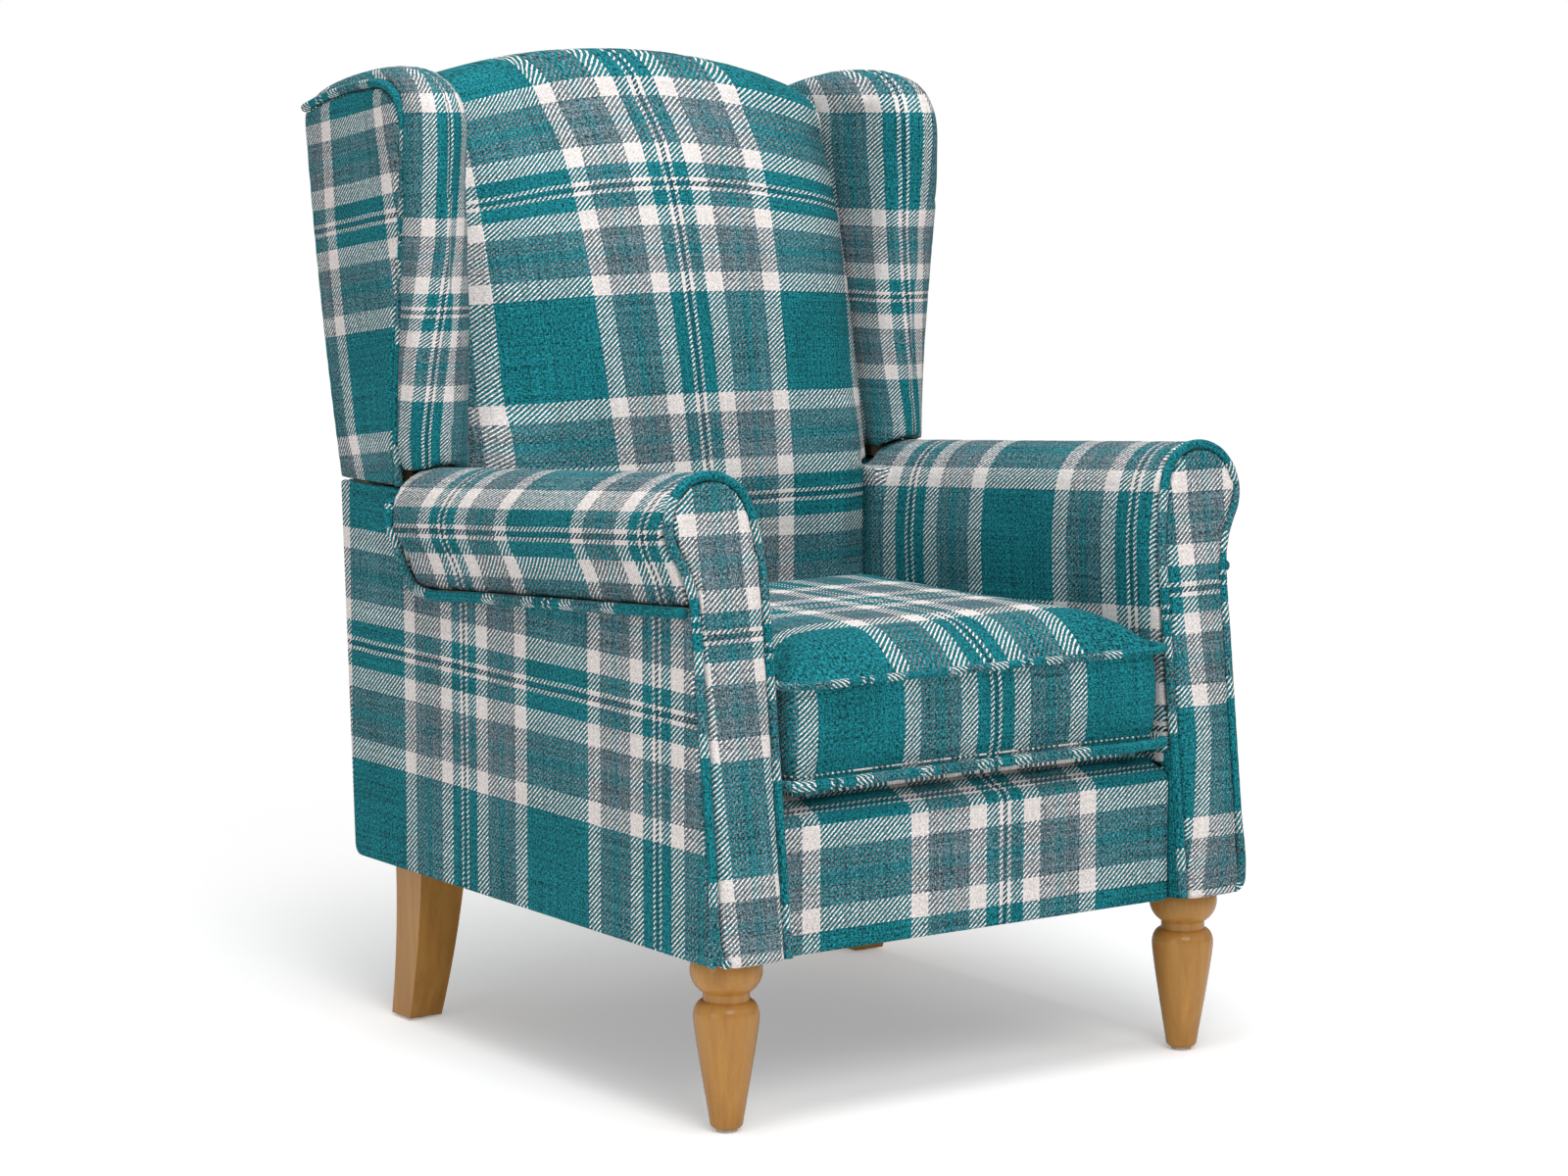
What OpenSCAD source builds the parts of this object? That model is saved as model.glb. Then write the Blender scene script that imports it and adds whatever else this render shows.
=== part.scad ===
// Wing-back fireside chair with scroll arms, a loose seat cushion and a knock-down back.
// Millimetres. X is to the right seen from the front, Y to the rear, Z up from the floor.

/* [Legs] */
// Height of the body's underside above the floor
leg_h = 174; // [140:1:220]
// Largest radius of a turned front leg, at the ball under the body
leg_ball_r = 36; // [30:0.5:40]
// Radius of a turned front leg just above its foot
leg_foot_r = 16.5; // [14:0.5:20]
// Side of a rear leg's square section at the body
rear_leg_top = 56; // [48:1:62]
// Side of a rear leg's square section at the foot
rear_leg_foot = 40; // [32:1:46]
// How far a rear leg sweeps backwards on its way down
rear_leg_sweep = 20; // [0:1:30]

/* [Base] */
// Clear width between the inside arms
seat_w = 494; // [440:1:600]
// Width of one arm at its foot
arm_w = 91; // [84:1:110]
// Depth of the base at its underside
base_d = 721; // [660:1:800]
// Height of the base from its underside to the joint of the back
base_h = 416; // [400:1:435]
// How far the rear of the base leans back over its height
base_lean = 22; // [0:1:35]
// Backward lean of the arm fronts, in degrees
facing_lean = 6.5; // [2:0.5:9]

/* [Arms] */
// Radius of the scroll arm
roll_r = 53.5; // [48:0.5:58]
// How far the scroll's inner side stands back from the inside arm
roll_set = 9; // [4:0.5:12]
// Height of the scroll's centre above the underside, along the leaning arm front
roll_rise = 426; // [410:1:440]
// Radius of the hollow neck under the scroll
neck_r = 110; // [80:1:140]
// Fall of the arm towards the rear, in degrees
arm_fall = 3.7; // [0:0.1:5]
// Radius of the thick piping on the arms and wings
piping_r = 5; // [3.5:0.1:5.5]

/* [Back] */
// Height of the back above its joint with the base
back_h = 474; // [440:1:540]
// How far the top of the back leans behind the joint
back_rake = 83; // [50:1:110]
// Rise of the arched top between the wings
arch_rise = 50; // [30:1:60]
// Thickness of the padded back at the joint
back_thick = 157; // [140:1:170]
// Forward swell of the back between the wings
back_crown = 40; // [20:1:46]
// Depth of a wing at its widest, from the rear of the back to its front edge
wing_d = 285; // [270:1:300]
// How far the wings' tops stay below the crest of the back
wing_drop = 21; // [10:1:30]
// How far the wings' front edges splay outwards at the top
wing_splay = 8; // [0:0.5:12]

/* [Cushion] */
// Height of the cushion's wall between its two pipings
cushion_wall = 97; // [85:1:112]
// Rise of the cushion's top over its upper piping
cushion_crown = 40; // [24:1:44]
// Drop of the cushion's underside below its lower piping
cushion_belly = 16; // [10:1:22]
// How far each side pulls in between two corners
cushion_pull = 5; // [0:0.5:8]
// Radius of the cushion's piping
cord_r = 4; // [3:0.1:4.5]
// How far the cushion's front stands proud of the arm fronts
cushion_proud = 20; // [6:1:24]

/* [Hidden] */

// Finishes
beech = "#c08a4b";
pine = "#d8b681";
cloth = "#1f6f78";
cloth_light = "#9fb9b4";
cloth_dark = "#155058";
lining = "#2b2d30";
steel = "#9a9da1";
nylon = "#e6dfd0";
foam = "#d9d2b8";

// Stock and clearances
touch_gap = 0.3;
cut_over = 1;
shell_t = 9;
rear_t = 6;
rail_t = 22;
rail_thin_t = 16;
rail_h = 128;
frame_d = 44;
post_t = 18;
board_t = 6;
facing_t = 20;
facing_pad_t = facing_t - board_t;
inside_t = 25;
lining_t = 1.5;
lining_lift = 0.5;
split_gap = 1.5;
strap_t = 1.5;
strap_w = 50;
deck_t = 18;
border_t = 12;
border_set = 23;
border_round = 14;
block_h = 35;
block_w = 66;
glide_t = 3;
glide_r = 10.5;
glide_stem_r = 2;
glide_stem_h = 12;
bolt_r = 4;
bolt_grip = 36;
nut_r = 5.5;
nut_flange_r = 9.5;
nut_flange_t = 1.6;
nut_h = 12;
bore_gap = 0.1;
wing_wrap = 22;
foot_corner = 16;
rear_leg_set = 12;

// The body's main planes
seat_half = seat_w / 2;
body_half = seat_half + arm_w;
skin_x = body_half - shell_t;
overall_d = base_d + base_lean + back_rake;
front_y = -overall_d / 2;
frame_z = leg_h + lining_lift + lining_t;
rail_top_z = frame_z + rail_h;
deck_z = rail_top_z + 2 * strap_t;
deck_top_z = deck_z + deck_t;
split_z = leg_h + base_h;
crest_z = split_z + back_h;
reach = crest_z + overall_d + body_half;

// Frame lines
post_x = seat_half + inside_t;
rail_x = skin_x - rail_t;
stile_x = rail_x - rail_t;
border_y = front_y + border_set;
rail_y = border_y + border_t;
rail_rear_y = rail_y + rail_t - cut_over;
leg_x = seat_half + arm_w / 2;
front_leg_y = front_y + (facing_t + post_t) / cos(facing_lean)
    + (frame_z + block_h + nut_flange_t - leg_h) * tan(facing_lean) + nut_flange_r + touch_gap;
rear_leg_outer_x = body_half - rear_leg_set;
rear_leg_front_y = front_y + base_d - rear_t - frame_d - rear_leg_top - rail_t;
rear_bolt_x = rail_x - nut_flange_r - rear_t;
rear_bolt_y = rear_leg_front_y + rear_leg_top / 2;

// Back lines: a straight lean in the base, then a gentle curve up to the crest
rake_bend_share = 0.45;
function base_rear(z) = front_y + base_d + base_lean * (z - leg_h) / base_h;
function back_rear(z) = let (s = (z - split_z) / back_h)
    s <= 0 ? base_rear(z)
    : base_rear(split_z) + back_rake * ((1 + rake_bend_share) * s - rake_bend_share * s * s);
thick_swell_share = 0.25;
thick_taper_share = 0.64;
function back_depth(z) = let (s = max(0, (z - split_z) / back_h))
    back_thick * (1 + thick_swell_share * s - thick_taper_share * pow(s, 3));

function mix(a, b, t) = a + (b - a) * t;
function unit(v) = v / norm(v);
function ease(t) = let (c = min(1, max(0, t))) c * c * (3 - 2 * c);
function bezier(p, t) = let (q = 1 - t)
    q * q * q * p[0] + 3 * q * q * t * p[1] + 3 * q * t * t * p[2] + t * t * t * p[3];
function curve(p, count) = [for (i = [0:count]) bezier(p, i / count)];
function arc(centre, r, from, to, count) =
    [for (i = [0:count]) centre + r * [cos(mix(from, to, i / count)), sin(mix(from, to, i / count))]];

// Copies for the two sides
module left_side() {
    mirror([1, 0, 0]) children();
}

module both_sides() {
    children();
    left_side() children();
}

// An outline in Y and Z, run along X
module side_prism(outline, x_from, x_to) {
    translate([x_from, 0, 0]) rotate([90, 0, 90]) linear_extrude(x_to - x_from) polygon(outline);
}

// An outline in X and Z, run along Y
module front_prism(outline, y_from, y_to) {
    translate([0, y_to, 0]) rotate([90, 0, 0]) linear_extrude(y_to - y_from) polygon(outline);
}

module block(from, to) {
    translate(from) cube(to - from);
}

// Space behind the leaning arm front: Y is the depth behind it, Z runs up along it
module lean() {
    translate([0, front_y, leg_h]) rotate([-facing_lean, 0, 0]) children();
}

// Space of the arm: origin at the scroll's centre, Y runs rearwards along the falling arm
roll_x = seat_half + roll_set + roll_r;
roll_y = front_y + roll_rise * sin(facing_lean);
roll_z = leg_h + roll_rise * cos(facing_lean);
module along_arm() {
    translate([0, roll_y, roll_z]) rotate([-arm_fall, 0, 0]) children();
}

// Cuts away all that lies nearer than depth behind the arm front
module behind_facing(depth) {
    difference() {
        children();
        lean() block([-reach, -reach, -reach], [reach, depth, reach]);
    }
}

// Keeps what lies above, or below, a level of the falling arm
module arm_level(level, above) {
    difference() {
        children();
        along_arm()
            block([-reach, -reach, above ? -reach : level], [reach, reach, above ? level : reach]);
    }
}

// A closed solid between two grids of points that match row for row
module slab(front, rear) {
    rows = len(front);
    cols = len(front[0]);
    count = rows * cols;
    function at(i, j) = i * cols + j;
    front_faces = [for (i = [0:rows - 2], j = [0:cols - 2])
        each [[at(i, j), at(i + 1, j + 1), at(i, j + 1)], [at(i, j), at(i + 1, j), at(i + 1, j + 1)]]];
    rear_faces = [for (f = front_faces) [f[2] + count, f[1] + count, f[0] + count]];
    rim = concat([for (j = [0:cols - 1]) at(0, j)], [for (i = [1:rows - 1]) at(i, cols - 1)],
        [for (j = [cols - 2:-1:0]) at(rows - 1, j)], [for (i = [rows - 2:-1:1]) at(i, 0)]);
    rim_faces = [for (k = [0:len(rim) - 1]) let (a = rim[k], b = rim[(k + 1) % len(rim)])
        each [[a, b, b + count], [a, b + count, a + count]]];
    polyhedron(concat([for (row = front) each row], [for (row = rear) each row]),
        concat(front_faces, rear_faces, rim_faces));
}

// Rings of equal count skinned into one solid, closed at its ends or joined end to end. Bent end
// rings of an even count are closed by strips between their first half and their second.
module skin(rings, closed = false, bent = false) {
    rows = len(rings);
    cols = len(rings[0]);
    last = closed ? rows - 1 : rows - 2;
    sides = [for (i = [0:last], j = [0:cols - 1]) let (n = (i + 1) % rows, m = (j + 1) % cols)
        each [[i * cols + j, n * cols + j, n * cols + m], [i * cols + j, n * cols + m, i * cols + m]]];
    bottom = !bent ? [[for (j = [0:cols - 1]) j]]
        : [for (j = [0:cols / 2 - 2]) let (k = cols - 1 - j) each [[j, j + 1, k], [j + 1, k - 1, k]]];
    top = [for (face = bottom) [for (j = [len(face) - 1:-1:0]) (rows - 1) * cols + face[j]]];
    polyhedron([for (ring = rings) each ring], concat(sides, closed ? [] : concat(bottom, top)));
}

// A round cord along a path that keeps roughly square to the direction named across
cord_sides = 6;
module cord(path, r, across, closed = false) {
    n = len(path);
    function ahead(i) = closed ? path[(i + 1) % n] - path[(i + n - 1) % n]
        : path[min(i + 1, n - 1)] - path[max(i - 1, 0)];
    skin([for (i = [0:n - 1]) let (t = unit(ahead(i)), u = unit(cross(t, across)), v = cross(t, u))
        [for (k = [0:cord_sides - 1]) let (a = 360 * k / cord_sides)
            path[i] + r * (cos(a) * u + sin(a) * v)]], closed);
}

// Legs

// Turned front leg, from its foot up: taper, shoulder, neck and ball
ball_z_share = 0.92;
ball_core_share = 0.28;
neck_z_share = 0.747;
neck_r_share = 0.64;
shoulder_z_share = 0.66;
shoulder_r_share = 0.908;
taper_r_share = 0.15;
taper_z_share = 0.2;
hip_z_share = 0.88;
foot_round = 6;
module front_leg_form() {
    top = frame_z;
    ball_z = ball_z_share * top;
    neck_z = neck_z_share * top;
    shoulder_z = shoulder_z_share * top;
    shoulder_r = shoulder_r_share * leg_ball_r;
    neck_r = neck_r_share * leg_ball_r;
    core = ball_core_share * leg_ball_r;
    ball_r = leg_ball_r - core;
    top_angle = asin(min(1, (top - ball_z) / ball_r));
    low_angle = -acos((neck_r - core) / ball_r);
    rise = neck_z - shoulder_z;
    profile = concat(
        [[0, glide_t], [leg_foot_r - foot_round, glide_t]],
        arc([leg_foot_r - foot_round, glide_t + foot_round], foot_round, -60, -15, 3),
        curve([[leg_foot_r, glide_t + foot_round],
            [mix(leg_foot_r, shoulder_r, taper_r_share), mix(glide_t, shoulder_z, taper_z_share)],
            [shoulder_r, mix(glide_t, shoulder_z, hip_z_share)], [shoulder_r, shoulder_z]], 10),
        [for (i = [1:6]) let (a = 15 * i)
            [neck_r + (shoulder_r - neck_r) * cos(a), shoulder_z + rise * sin(a)]],
        arc([core, ball_z], ball_r, low_angle, top_angle, 12),
        [[0, top]]);
    difference() {
        rotate_extrude($fn = 96) polygon(profile);
        translate([0, 0, top - bolt_grip])
            cylinder(r = bolt_r + bore_gap, h = bolt_grip + cut_over, $fn = 48);
        cylinder(r = glide_stem_r + bore_gap, h = glide_t + glide_stem_h, $fn = 32);
    }
}

// Sawn rear leg: tapers on two faces and sweeps back towards the foot
rear_leg_steps = 10;
function rear_leg_y(t) = rear_leg_front_y + (rear_leg_top - rear_leg_foot) * t + rear_leg_sweep * t * t;
module rear_leg_form() {
    h = frame_z - glide_t;
    steps = [for (i = [0:rear_leg_steps]) i / rear_leg_steps];
    inset = (rear_leg_top - rear_leg_foot) / 4;
    side = concat([for (t = steps) [rear_leg_y(t), frame_z - h * t]],
        [for (i = [rear_leg_steps:-1:0]) let (t = i / rear_leg_steps)
            [rear_leg_y(t) + mix(rear_leg_top, rear_leg_foot, t), frame_z - h * t]]);
    front = [[rear_leg_outer_x, frame_z], [rear_leg_outer_x - inset, glide_t],
        [rear_leg_outer_x - inset - rear_leg_foot, glide_t], [rear_leg_outer_x - rear_leg_top, frame_z]];
    difference() {
        intersection() {
            side_prism(side, rear_leg_outer_x - 2 * rear_leg_top, rear_leg_outer_x + cut_over);
            front_prism(front, front_y, -front_y);
        }
        translate([rear_bolt_x, rear_bolt_y, frame_z - bolt_grip])
            cylinder(r = bolt_r + bore_gap, h = bolt_grip + cut_over, $fn = 48);
        translate([rear_glide_x, rear_glide_y, 0])
            cylinder(r = glide_stem_r + bore_gap, h = glide_t + glide_stem_h, $fn = 32);
    }
}
rear_glide_x = rear_leg_outer_x - (rear_leg_top - rear_leg_foot) / 4 - rear_leg_foot / 2;
rear_glide_y = rear_leg_y(1) + rear_leg_foot / 2;

module at_leg_bolts() {
    both_sides() {
        translate([leg_x, front_leg_y, 0]) children();
        translate([rear_bolt_x, rear_bolt_y, 0]) children();
    }
}

module at_glides() {
    both_sides() {
        translate([leg_x, front_leg_y, 0]) children();
        translate([rear_glide_x, rear_glide_y, 0]) children();
    }
}

module front_leg_left() {
    color(beech) left_side() translate([leg_x, front_leg_y, 0]) front_leg_form();
}

module front_leg_right() {
    color(beech) translate([leg_x, front_leg_y, 0]) front_leg_form();
}

module rear_leg_left() {
    color(beech) left_side() rear_leg_form();
}

module rear_leg_right() {
    color(beech) rear_leg_form();
}

module leg_glides() {
    color(nylon) at_glides() {
        cylinder(r = glide_r, h = glide_t, $fn = 48);
        cylinder(r = glide_stem_r, h = glide_t + glide_stem_h - touch_gap, $fn = 32);
    }
}

module hanger_bolts() {
    color(steel) at_leg_bolts() translate([0, 0, frame_z - bolt_grip + touch_gap])
        cylinder(r = bolt_r, h = bolt_grip + block_h, $fn = 48);
}

module leg_tee_nuts() {
    color(steel) at_leg_bolts() difference() {
        union() {
            translate([0, 0, frame_z + block_h - nut_h]) cylinder(r = nut_r, h = nut_h, $fn = 48);
            translate([0, 0, frame_z + block_h]) cylinder(r = nut_flange_r, h = nut_flange_t, $fn = 48);
        }
        cylinder(r = bolt_r + bore_gap, h = reach, $fn = 48);
    }
}

// Base frame

module front_rail() {
    color(pine) block([-post_x, rail_y, frame_z], [post_x, rail_rear_y, rail_top_z]);
}

// A timber between two levels, set a given depth in front of the leaning rear
module rear_timber(z_from, z_to, set, depth, x_from, x_to) {
    side_prism([[back_rear(z_from) - set - depth, z_from], [back_rear(z_from) - set, z_from],
        [back_rear(z_to) - set, z_to], [back_rear(z_to) - set - depth, z_to]], x_from, x_to);
}

module rear_rail() {
    color(pine) rear_timber(frame_z, rail_top_z, rear_t, rail_t, -stile_x, stile_x);
}

module side_rail_form() {
    inset = rear_t + frame_d;
    behind_facing(facing_t + post_t)
        side_prism([[front_y, frame_z], [back_rear(frame_z) - inset, frame_z],
            [back_rear(rail_top_z) - inset, rail_top_z], [front_y, rail_top_z]], rail_x, skin_x);
}

module side_rail_left() {
    color(pine) left_side() side_rail_form();
}

module side_rail_right() {
    color(pine) side_rail_form();
}

module corner_blocks() {
    color(pine) difference() {
        both_sides() {
            behind_facing(facing_t + post_t) difference() {
                block([rail_x - block_w, rail_y, frame_z],
                    [rail_x, rail_rear_y + block_w, frame_z + block_h]);
                block([0, front_y, 0], [post_x, rail_rear_y, rail_top_z]);
            }
            block([rail_x - block_w, back_rear(frame_z) - rear_t - frame_d - rail_t - rear_leg_top, frame_z],
                [rail_x, back_rear(frame_z) - rear_t - frame_d, frame_z + block_h]);
        }
        at_leg_bolts() {
            cylinder(r = bolt_r + 2 * bore_gap, h = reach, $fn = 48);
            translate([0, 0, frame_z + block_h - nut_h])
                cylinder(r = nut_r + bore_gap, h = reach, $fn = 48);
        }
    }
}

arm_rail_t = 25;
roll_drop = 78;
ease_drop = 66;
scroll_start = 165;
ease_steps = 5;
module front_post_form() {
    arm_level(-roll_drop - arm_rail_t, false)
        intersection() {
            lean() block([post_x, facing_t, -frame_d], [skin_x, facing_t + post_t, roll_rise]);
            block([0, front_y, frame_z], [body_half, -front_y, crest_z]);
        }
}

module front_post_left() {
    color(pine) left_side() front_post_form();
}

module front_post_right() {
    color(pine) front_post_form();
}

module rear_post_form() {
    difference() {
        rear_timber(frame_z, split_z, rear_t, frame_d, stile_x, skin_x);
        at_bracket_screws(false) cylinder(r = screw_r + bore_gap, h = screw_l, $fn = 32);
    }
}

module rear_post_left() {
    color(pine) left_side() rear_post_form();
}

module rear_post_right() {
    color(pine) rear_post_form();
}

top_rail_h = 60;
module base_top_rail() {
    color(pine)
        rear_timber(split_z - top_rail_h, split_z - split_gap, rear_t, rail_thin_t, -stile_x, stile_x);
}

module arm_rail_form() {
    intersection() {
        behind_facing(facing_t)
            along_arm() block([post_x, -reach, -roll_drop - arm_rail_t], [skin_x, reach, -roll_drop]);
        side_prism([[front_y, frame_z], [back_rear(frame_z) - rear_t - frame_d, frame_z],
            [back_rear(split_z) - rear_t - frame_d, split_z], [front_y, split_z]], post_x, skin_x);
    }
}

module arm_rail_left() {
    color(pine) left_side() arm_rail_form();
}

module arm_rail_right() {
    color(pine) arm_rail_form();
}

liner_h = 40;
liner_t = 18;
module arm_liner_rails() {
    color(pine) both_sides()
        behind_facing(facing_t + post_t)
            side_prism([[front_y, deck_z], [back_rear(deck_z) - rear_t - frame_d, deck_z],
                [back_rear(deck_z + liner_h) - rear_t - frame_d, deck_z + liner_h],
                [front_y, deck_z + liner_h]], post_x, post_x + liner_t);
}

// Outline of the arm front in X and Z along the leaning front, drawn in by an inset
neck_x = body_half + neck_r;
neck_drop = sqrt(pow(roll_r + neck_r, 2) - pow(neck_x - roll_x, 2));
touch_angle = -atan2(neck_drop, neck_x - roll_x);
scroll_steps = 20;
neck_steps = 6;
function scroll_edge(inset, rise) = let (
    foot = [seat_half + inset, rise - ease_drop],
    head = [roll_x, rise] + (roll_r - inset) * [cos(scroll_start), sin(scroll_start)],
    pull = ease_drop / 3,
    head_pull = pull * [sin(scroll_start), -cos(scroll_start)])
    concat(curve([foot, foot + [0, pull], head - head_pull, head], ease_steps),
        [for (i = [1:scroll_steps]) let (a = mix(scroll_start, touch_angle, i / scroll_steps))
            [roll_x, rise] + (roll_r - inset) * [cos(a), sin(a)]]);

function facing_edge(inset) = concat(
    [[seat_half + inset, 0]],
    scroll_edge(inset, roll_rise),
    [for (i = [1:neck_steps]) let (a = mix(180 + touch_angle, 180, i / neck_steps))
        [neck_x, roll_rise - neck_drop] + (neck_r + inset) * [cos(a), sin(a)]],
    [for (i = [0:4]) let (a = 22.5 * i, r = foot_corner - inset)
        [body_half - foot_corner + r * cos(a), foot_corner - r * sin(a)]]);

module facing_prism(inset, depth_from, depth_to) {
    outline = concat(facing_edge(inset), [[body_half - foot_corner - cut_over - touch_gap, 0]]);
    lean() front_prism(outline, depth_from, depth_to);
}

board_inset = 3;
module facing_boards() {
    color(pine) both_sides() intersection() {
        facing_prism(2 * piping_r + board_inset, facing_pad_t, facing_t);
        block([0, front_y, frame_z], [body_half, -front_y, crest_z]);
    }
}

// Seat platform

long_straps = 5;
cross_straps = 5;
module seat_webbing() {
    rear_y = back_rear(rail_top_z) - rear_t;
    color(lining) {
        for (i = [0:long_straps - 1])
            let (x = mix(-seat_half + strap_w, seat_half - strap_w, i / (long_straps - 1)))
            block([x - strap_w / 2, rail_y, rail_top_z], [x + strap_w / 2, rear_y, rail_top_z + strap_t]);
        for (i = [0:cross_straps - 1])
            let (y = mix(rail_rear_y + 2 * strap_w, rear_y - 3 * strap_w, i / (cross_straps - 1)))
            block([-skin_x, y - strap_w / 2, rail_top_z + strap_t], [skin_x, y + strap_w / 2, deck_z]);
    }
}

border_back_y = rail_rear_y + border_round;
module deck_pad() {
    color(lining)
        side_prism([[border_back_y, deck_z], [back_rear(deck_z) - rear_t - frame_d, deck_z],
            [back_rear(deck_top_z) - rear_t - frame_d, deck_top_z], [border_back_y, deck_top_z]],
            -seat_half + touch_gap, seat_half - touch_gap);
}

border_drop = 15;
module front_border() {
    top = deck_top_z - border_drop;
    color(cloth_light)
        side_prism(concat(
            [[rail_y, leg_h], [rail_y, deck_z], [border_back_y, deck_z], [border_back_y, deck_top_z]],
            arc([border_y + border_round, top - border_round], border_round, 90, 180, 8),
            [[border_y, leg_h]]), -seat_half + touch_gap, seat_half - touch_gap);
}

// The lining keeps clear of the leg tops
module dust_cover() {
    x_leg = leg_x - leg_ball_r - cut_over;
    y_legs = [front_leg_y + leg_ball_r + cut_over, rear_leg_front_y - cut_over];
    color(lining) {
        block([-x_leg, rail_y, leg_h + lining_lift], [x_leg, back_rear(leg_h) - rear_t, frame_z]);
        both_sides()
            block([x_leg, y_legs[0], leg_h + lining_lift], [skin_x, y_legs[1], frame_z]);
    }
}

// Arms

roll_end_y = back_rear(split_z) - back_thick;
roll_len = (roll_end_y - roll_y) / cos(arm_fall);

// The scroll and the inside arm in one wrap of foam and cloth
module arm_pad_form() {
    neck_end = 180 - asin((neck_drop - roll_drop) / neck_r);
    wrap = concat(
        scroll_edge(0, 0),
        [for (i = [1:neck_steps]) let (a = mix(180 + touch_angle, neck_end, i / neck_steps))
            [neck_x, -neck_drop] + neck_r * [cos(a), sin(a)]],
        [[post_x, -roll_drop], [post_x, -reach], [seat_half, -reach]]);
    difference() {
        union() {
            intersection() {
                along_arm() front_prism(wrap, -reach, roll_len);
                block([0, front_y, deck_z], [reach, -front_y, crest_z]);
            }
            block([seat_half + touch_gap, roll_end_y - frame_d, deck_z],
                [post_x - touch_gap, back_rear(deck_z) - rear_t - frame_d, split_z - split_gap]);
        }
        lean() block([-reach, -reach, -reach], [reach, 2 * piping_r, reach]);
        facing_prism(2 * piping_r, 0, facing_t);
        block([0, pad_front_y(roll_x - roll_r, split_z) - touch_gap, split_z], [post_x, reach, crest_z]);
    }
}

module arm_pad_left() {
    color(cloth) left_side() arm_pad_form();
}

module arm_pad_right() {
    color(cloth) arm_pad_form();
}

module outside_arm_form() {
    difference() {
        side_prism([[front_y, leg_h], [base_rear(leg_h), leg_h],
            [base_rear(split_z - split_gap), split_z - split_gap], [front_y, split_z - split_gap]],
            skin_x, body_half);
        lean() block([-reach, -reach, -reach], [reach, 2 * piping_r, reach]);
        intersection() {
            along_arm() block([0, -reach, -roll_drop], [reach, reach, reach]);
            block([0, -reach, 0], [reach, roll_end_y + 2 * piping_r + cut_over, crest_z]);
        }
    }
}

module outside_arm_left() {
    color(cloth_light) left_side() outside_arm_form();
}

module outside_arm_right() {
    color(cloth_light) outside_arm_form();
}

module arm_facing_left() {
    color(cloth) left_side() facing_prism(2 * piping_r + touch_gap, 0, facing_pad_t);
}

module arm_facing_right() {
    color(cloth) facing_prism(2 * piping_r + touch_gap, 0, facing_pad_t);
}

module facing_piping_form() {
    edge = facing_edge(piping_r);
    lean() cord([for (p = edge) [p[0], piping_r, max(p[1], 0)]], piping_r, [0, 1, 0]);
}

module facing_piping_left() {
    color(cloth_dark) left_side() facing_piping_form();
}

module facing_piping_right() {
    color(cloth_dark) facing_piping_form();
}

// Runs under the scroll from the arm front and turns up round its rear end
arm_cord_turn = 45;
arm_cord_sink = 2;
module arm_piping_form() {
    x_low = body_half + piping_r + touch_gap;
    z_low = -roll_drop - piping_r;
    r_end = roll_r - arm_cord_sink;
    end_depth = roll_len + piping_r;
    start_depth = 2 * piping_r - roll_drop * tan(facing_lean - arm_fall) + touch_gap;
    low = [for (t = [0:6]) [x_low, mix(start_depth, end_depth - arm_cord_turn, t / 6), z_low]];
    foot = [roll_x + r_end * cos(touch_angle), end_depth, r_end * sin(touch_angle)];
    turn = curve([[x_low, end_depth - arm_cord_turn, z_low], [x_low, end_depth - piping_r, z_low],
        [foot[0] - piping_r, end_depth, mix(z_low, foot[2], 0.5)], foot], 6);
    rim = [for (i = [1:5]) let (a = mix(touch_angle, 20, i / 5))
        [roll_x + r_end * cos(a), end_depth, r_end * sin(a)]];
    along_arm() cord(concat(low, [for (i = [1:6]) turn[i]], rim), piping_r, [1, 0, 0]);
}

module arm_piping_left() {
    color(cloth_dark) left_side() arm_piping_form();
}

module arm_piping_right() {
    color(cloth_dark) arm_piping_form();
}

module base_rear_panel() {
    color(cloth_light) rear_timber(leg_h, split_z - split_gap, 0, rear_t, -skin_x, skin_x);
}

// Back frame

arch_half = post_x;
arch_r = (arch_half * arch_half + arch_rise * arch_rise) / (2 * arch_rise);
function arch_z(x) = crest_z - arch_r + sqrt(arch_r * arch_r - x * x);
shoulder_z = arch_z(arch_half) - wing_wrap / 2;
stile_top_z = shoulder_z - wing_wrap;

// A band of the curved back, set a given depth in front of its rear line
back_steps = 14;
module back_band(z_from, z_to, set_front, set_rear, x_from, x_to) {
    levels = [for (i = [0:back_steps]) mix(z_from, z_to, i / back_steps)];
    side_prism(concat([for (z = levels) [back_rear(z) - set_front, z]],
        [for (i = [back_steps:-1:0]) [back_rear(levels[i]) - set_rear, levels[i]]]), x_from, x_to);
}

module back_stiles() {
    color(pine) both_sides() difference() {
        back_band(split_z, stile_top_z, rear_t + frame_d, rear_t, stile_x, rail_x);
        at_bracket_screws(true) cylinder(r = screw_r + bore_gap, h = screw_l, $fn = 32);
    }
}

arch_steps = 16;
function arch_line(half, drop) =
    [for (i = [0:arch_steps]) let (x = mix(half, -half, i / arch_steps)) [x, arch_z(x) - drop]];

top_rail_drop = 24;
module back_top_rail() {
    low_z = stile_top_z - top_rail_h;
    high_half = arch_half - touch_gap;
    color(pine) intersection() {
        back_band(low_z, crest_z, rear_t + frame_d, rear_t + frame_d - rail_t, -stile_x, stile_x);
        front_prism(concat([[-stile_x, low_z], [stile_x, low_z], [stile_x, stile_top_z]],
            [[high_half, stile_top_z]], arch_line(high_half, top_rail_drop),
            [[-high_half, stile_top_z], [-stile_x, stile_top_z]]), front_y, -front_y);
    }
}

module back_lower_rail() {
    color(pine) rear_timber(split_z, split_z + top_rail_h, rear_t, rail_thin_t, -stile_x, stile_x);
}

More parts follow.
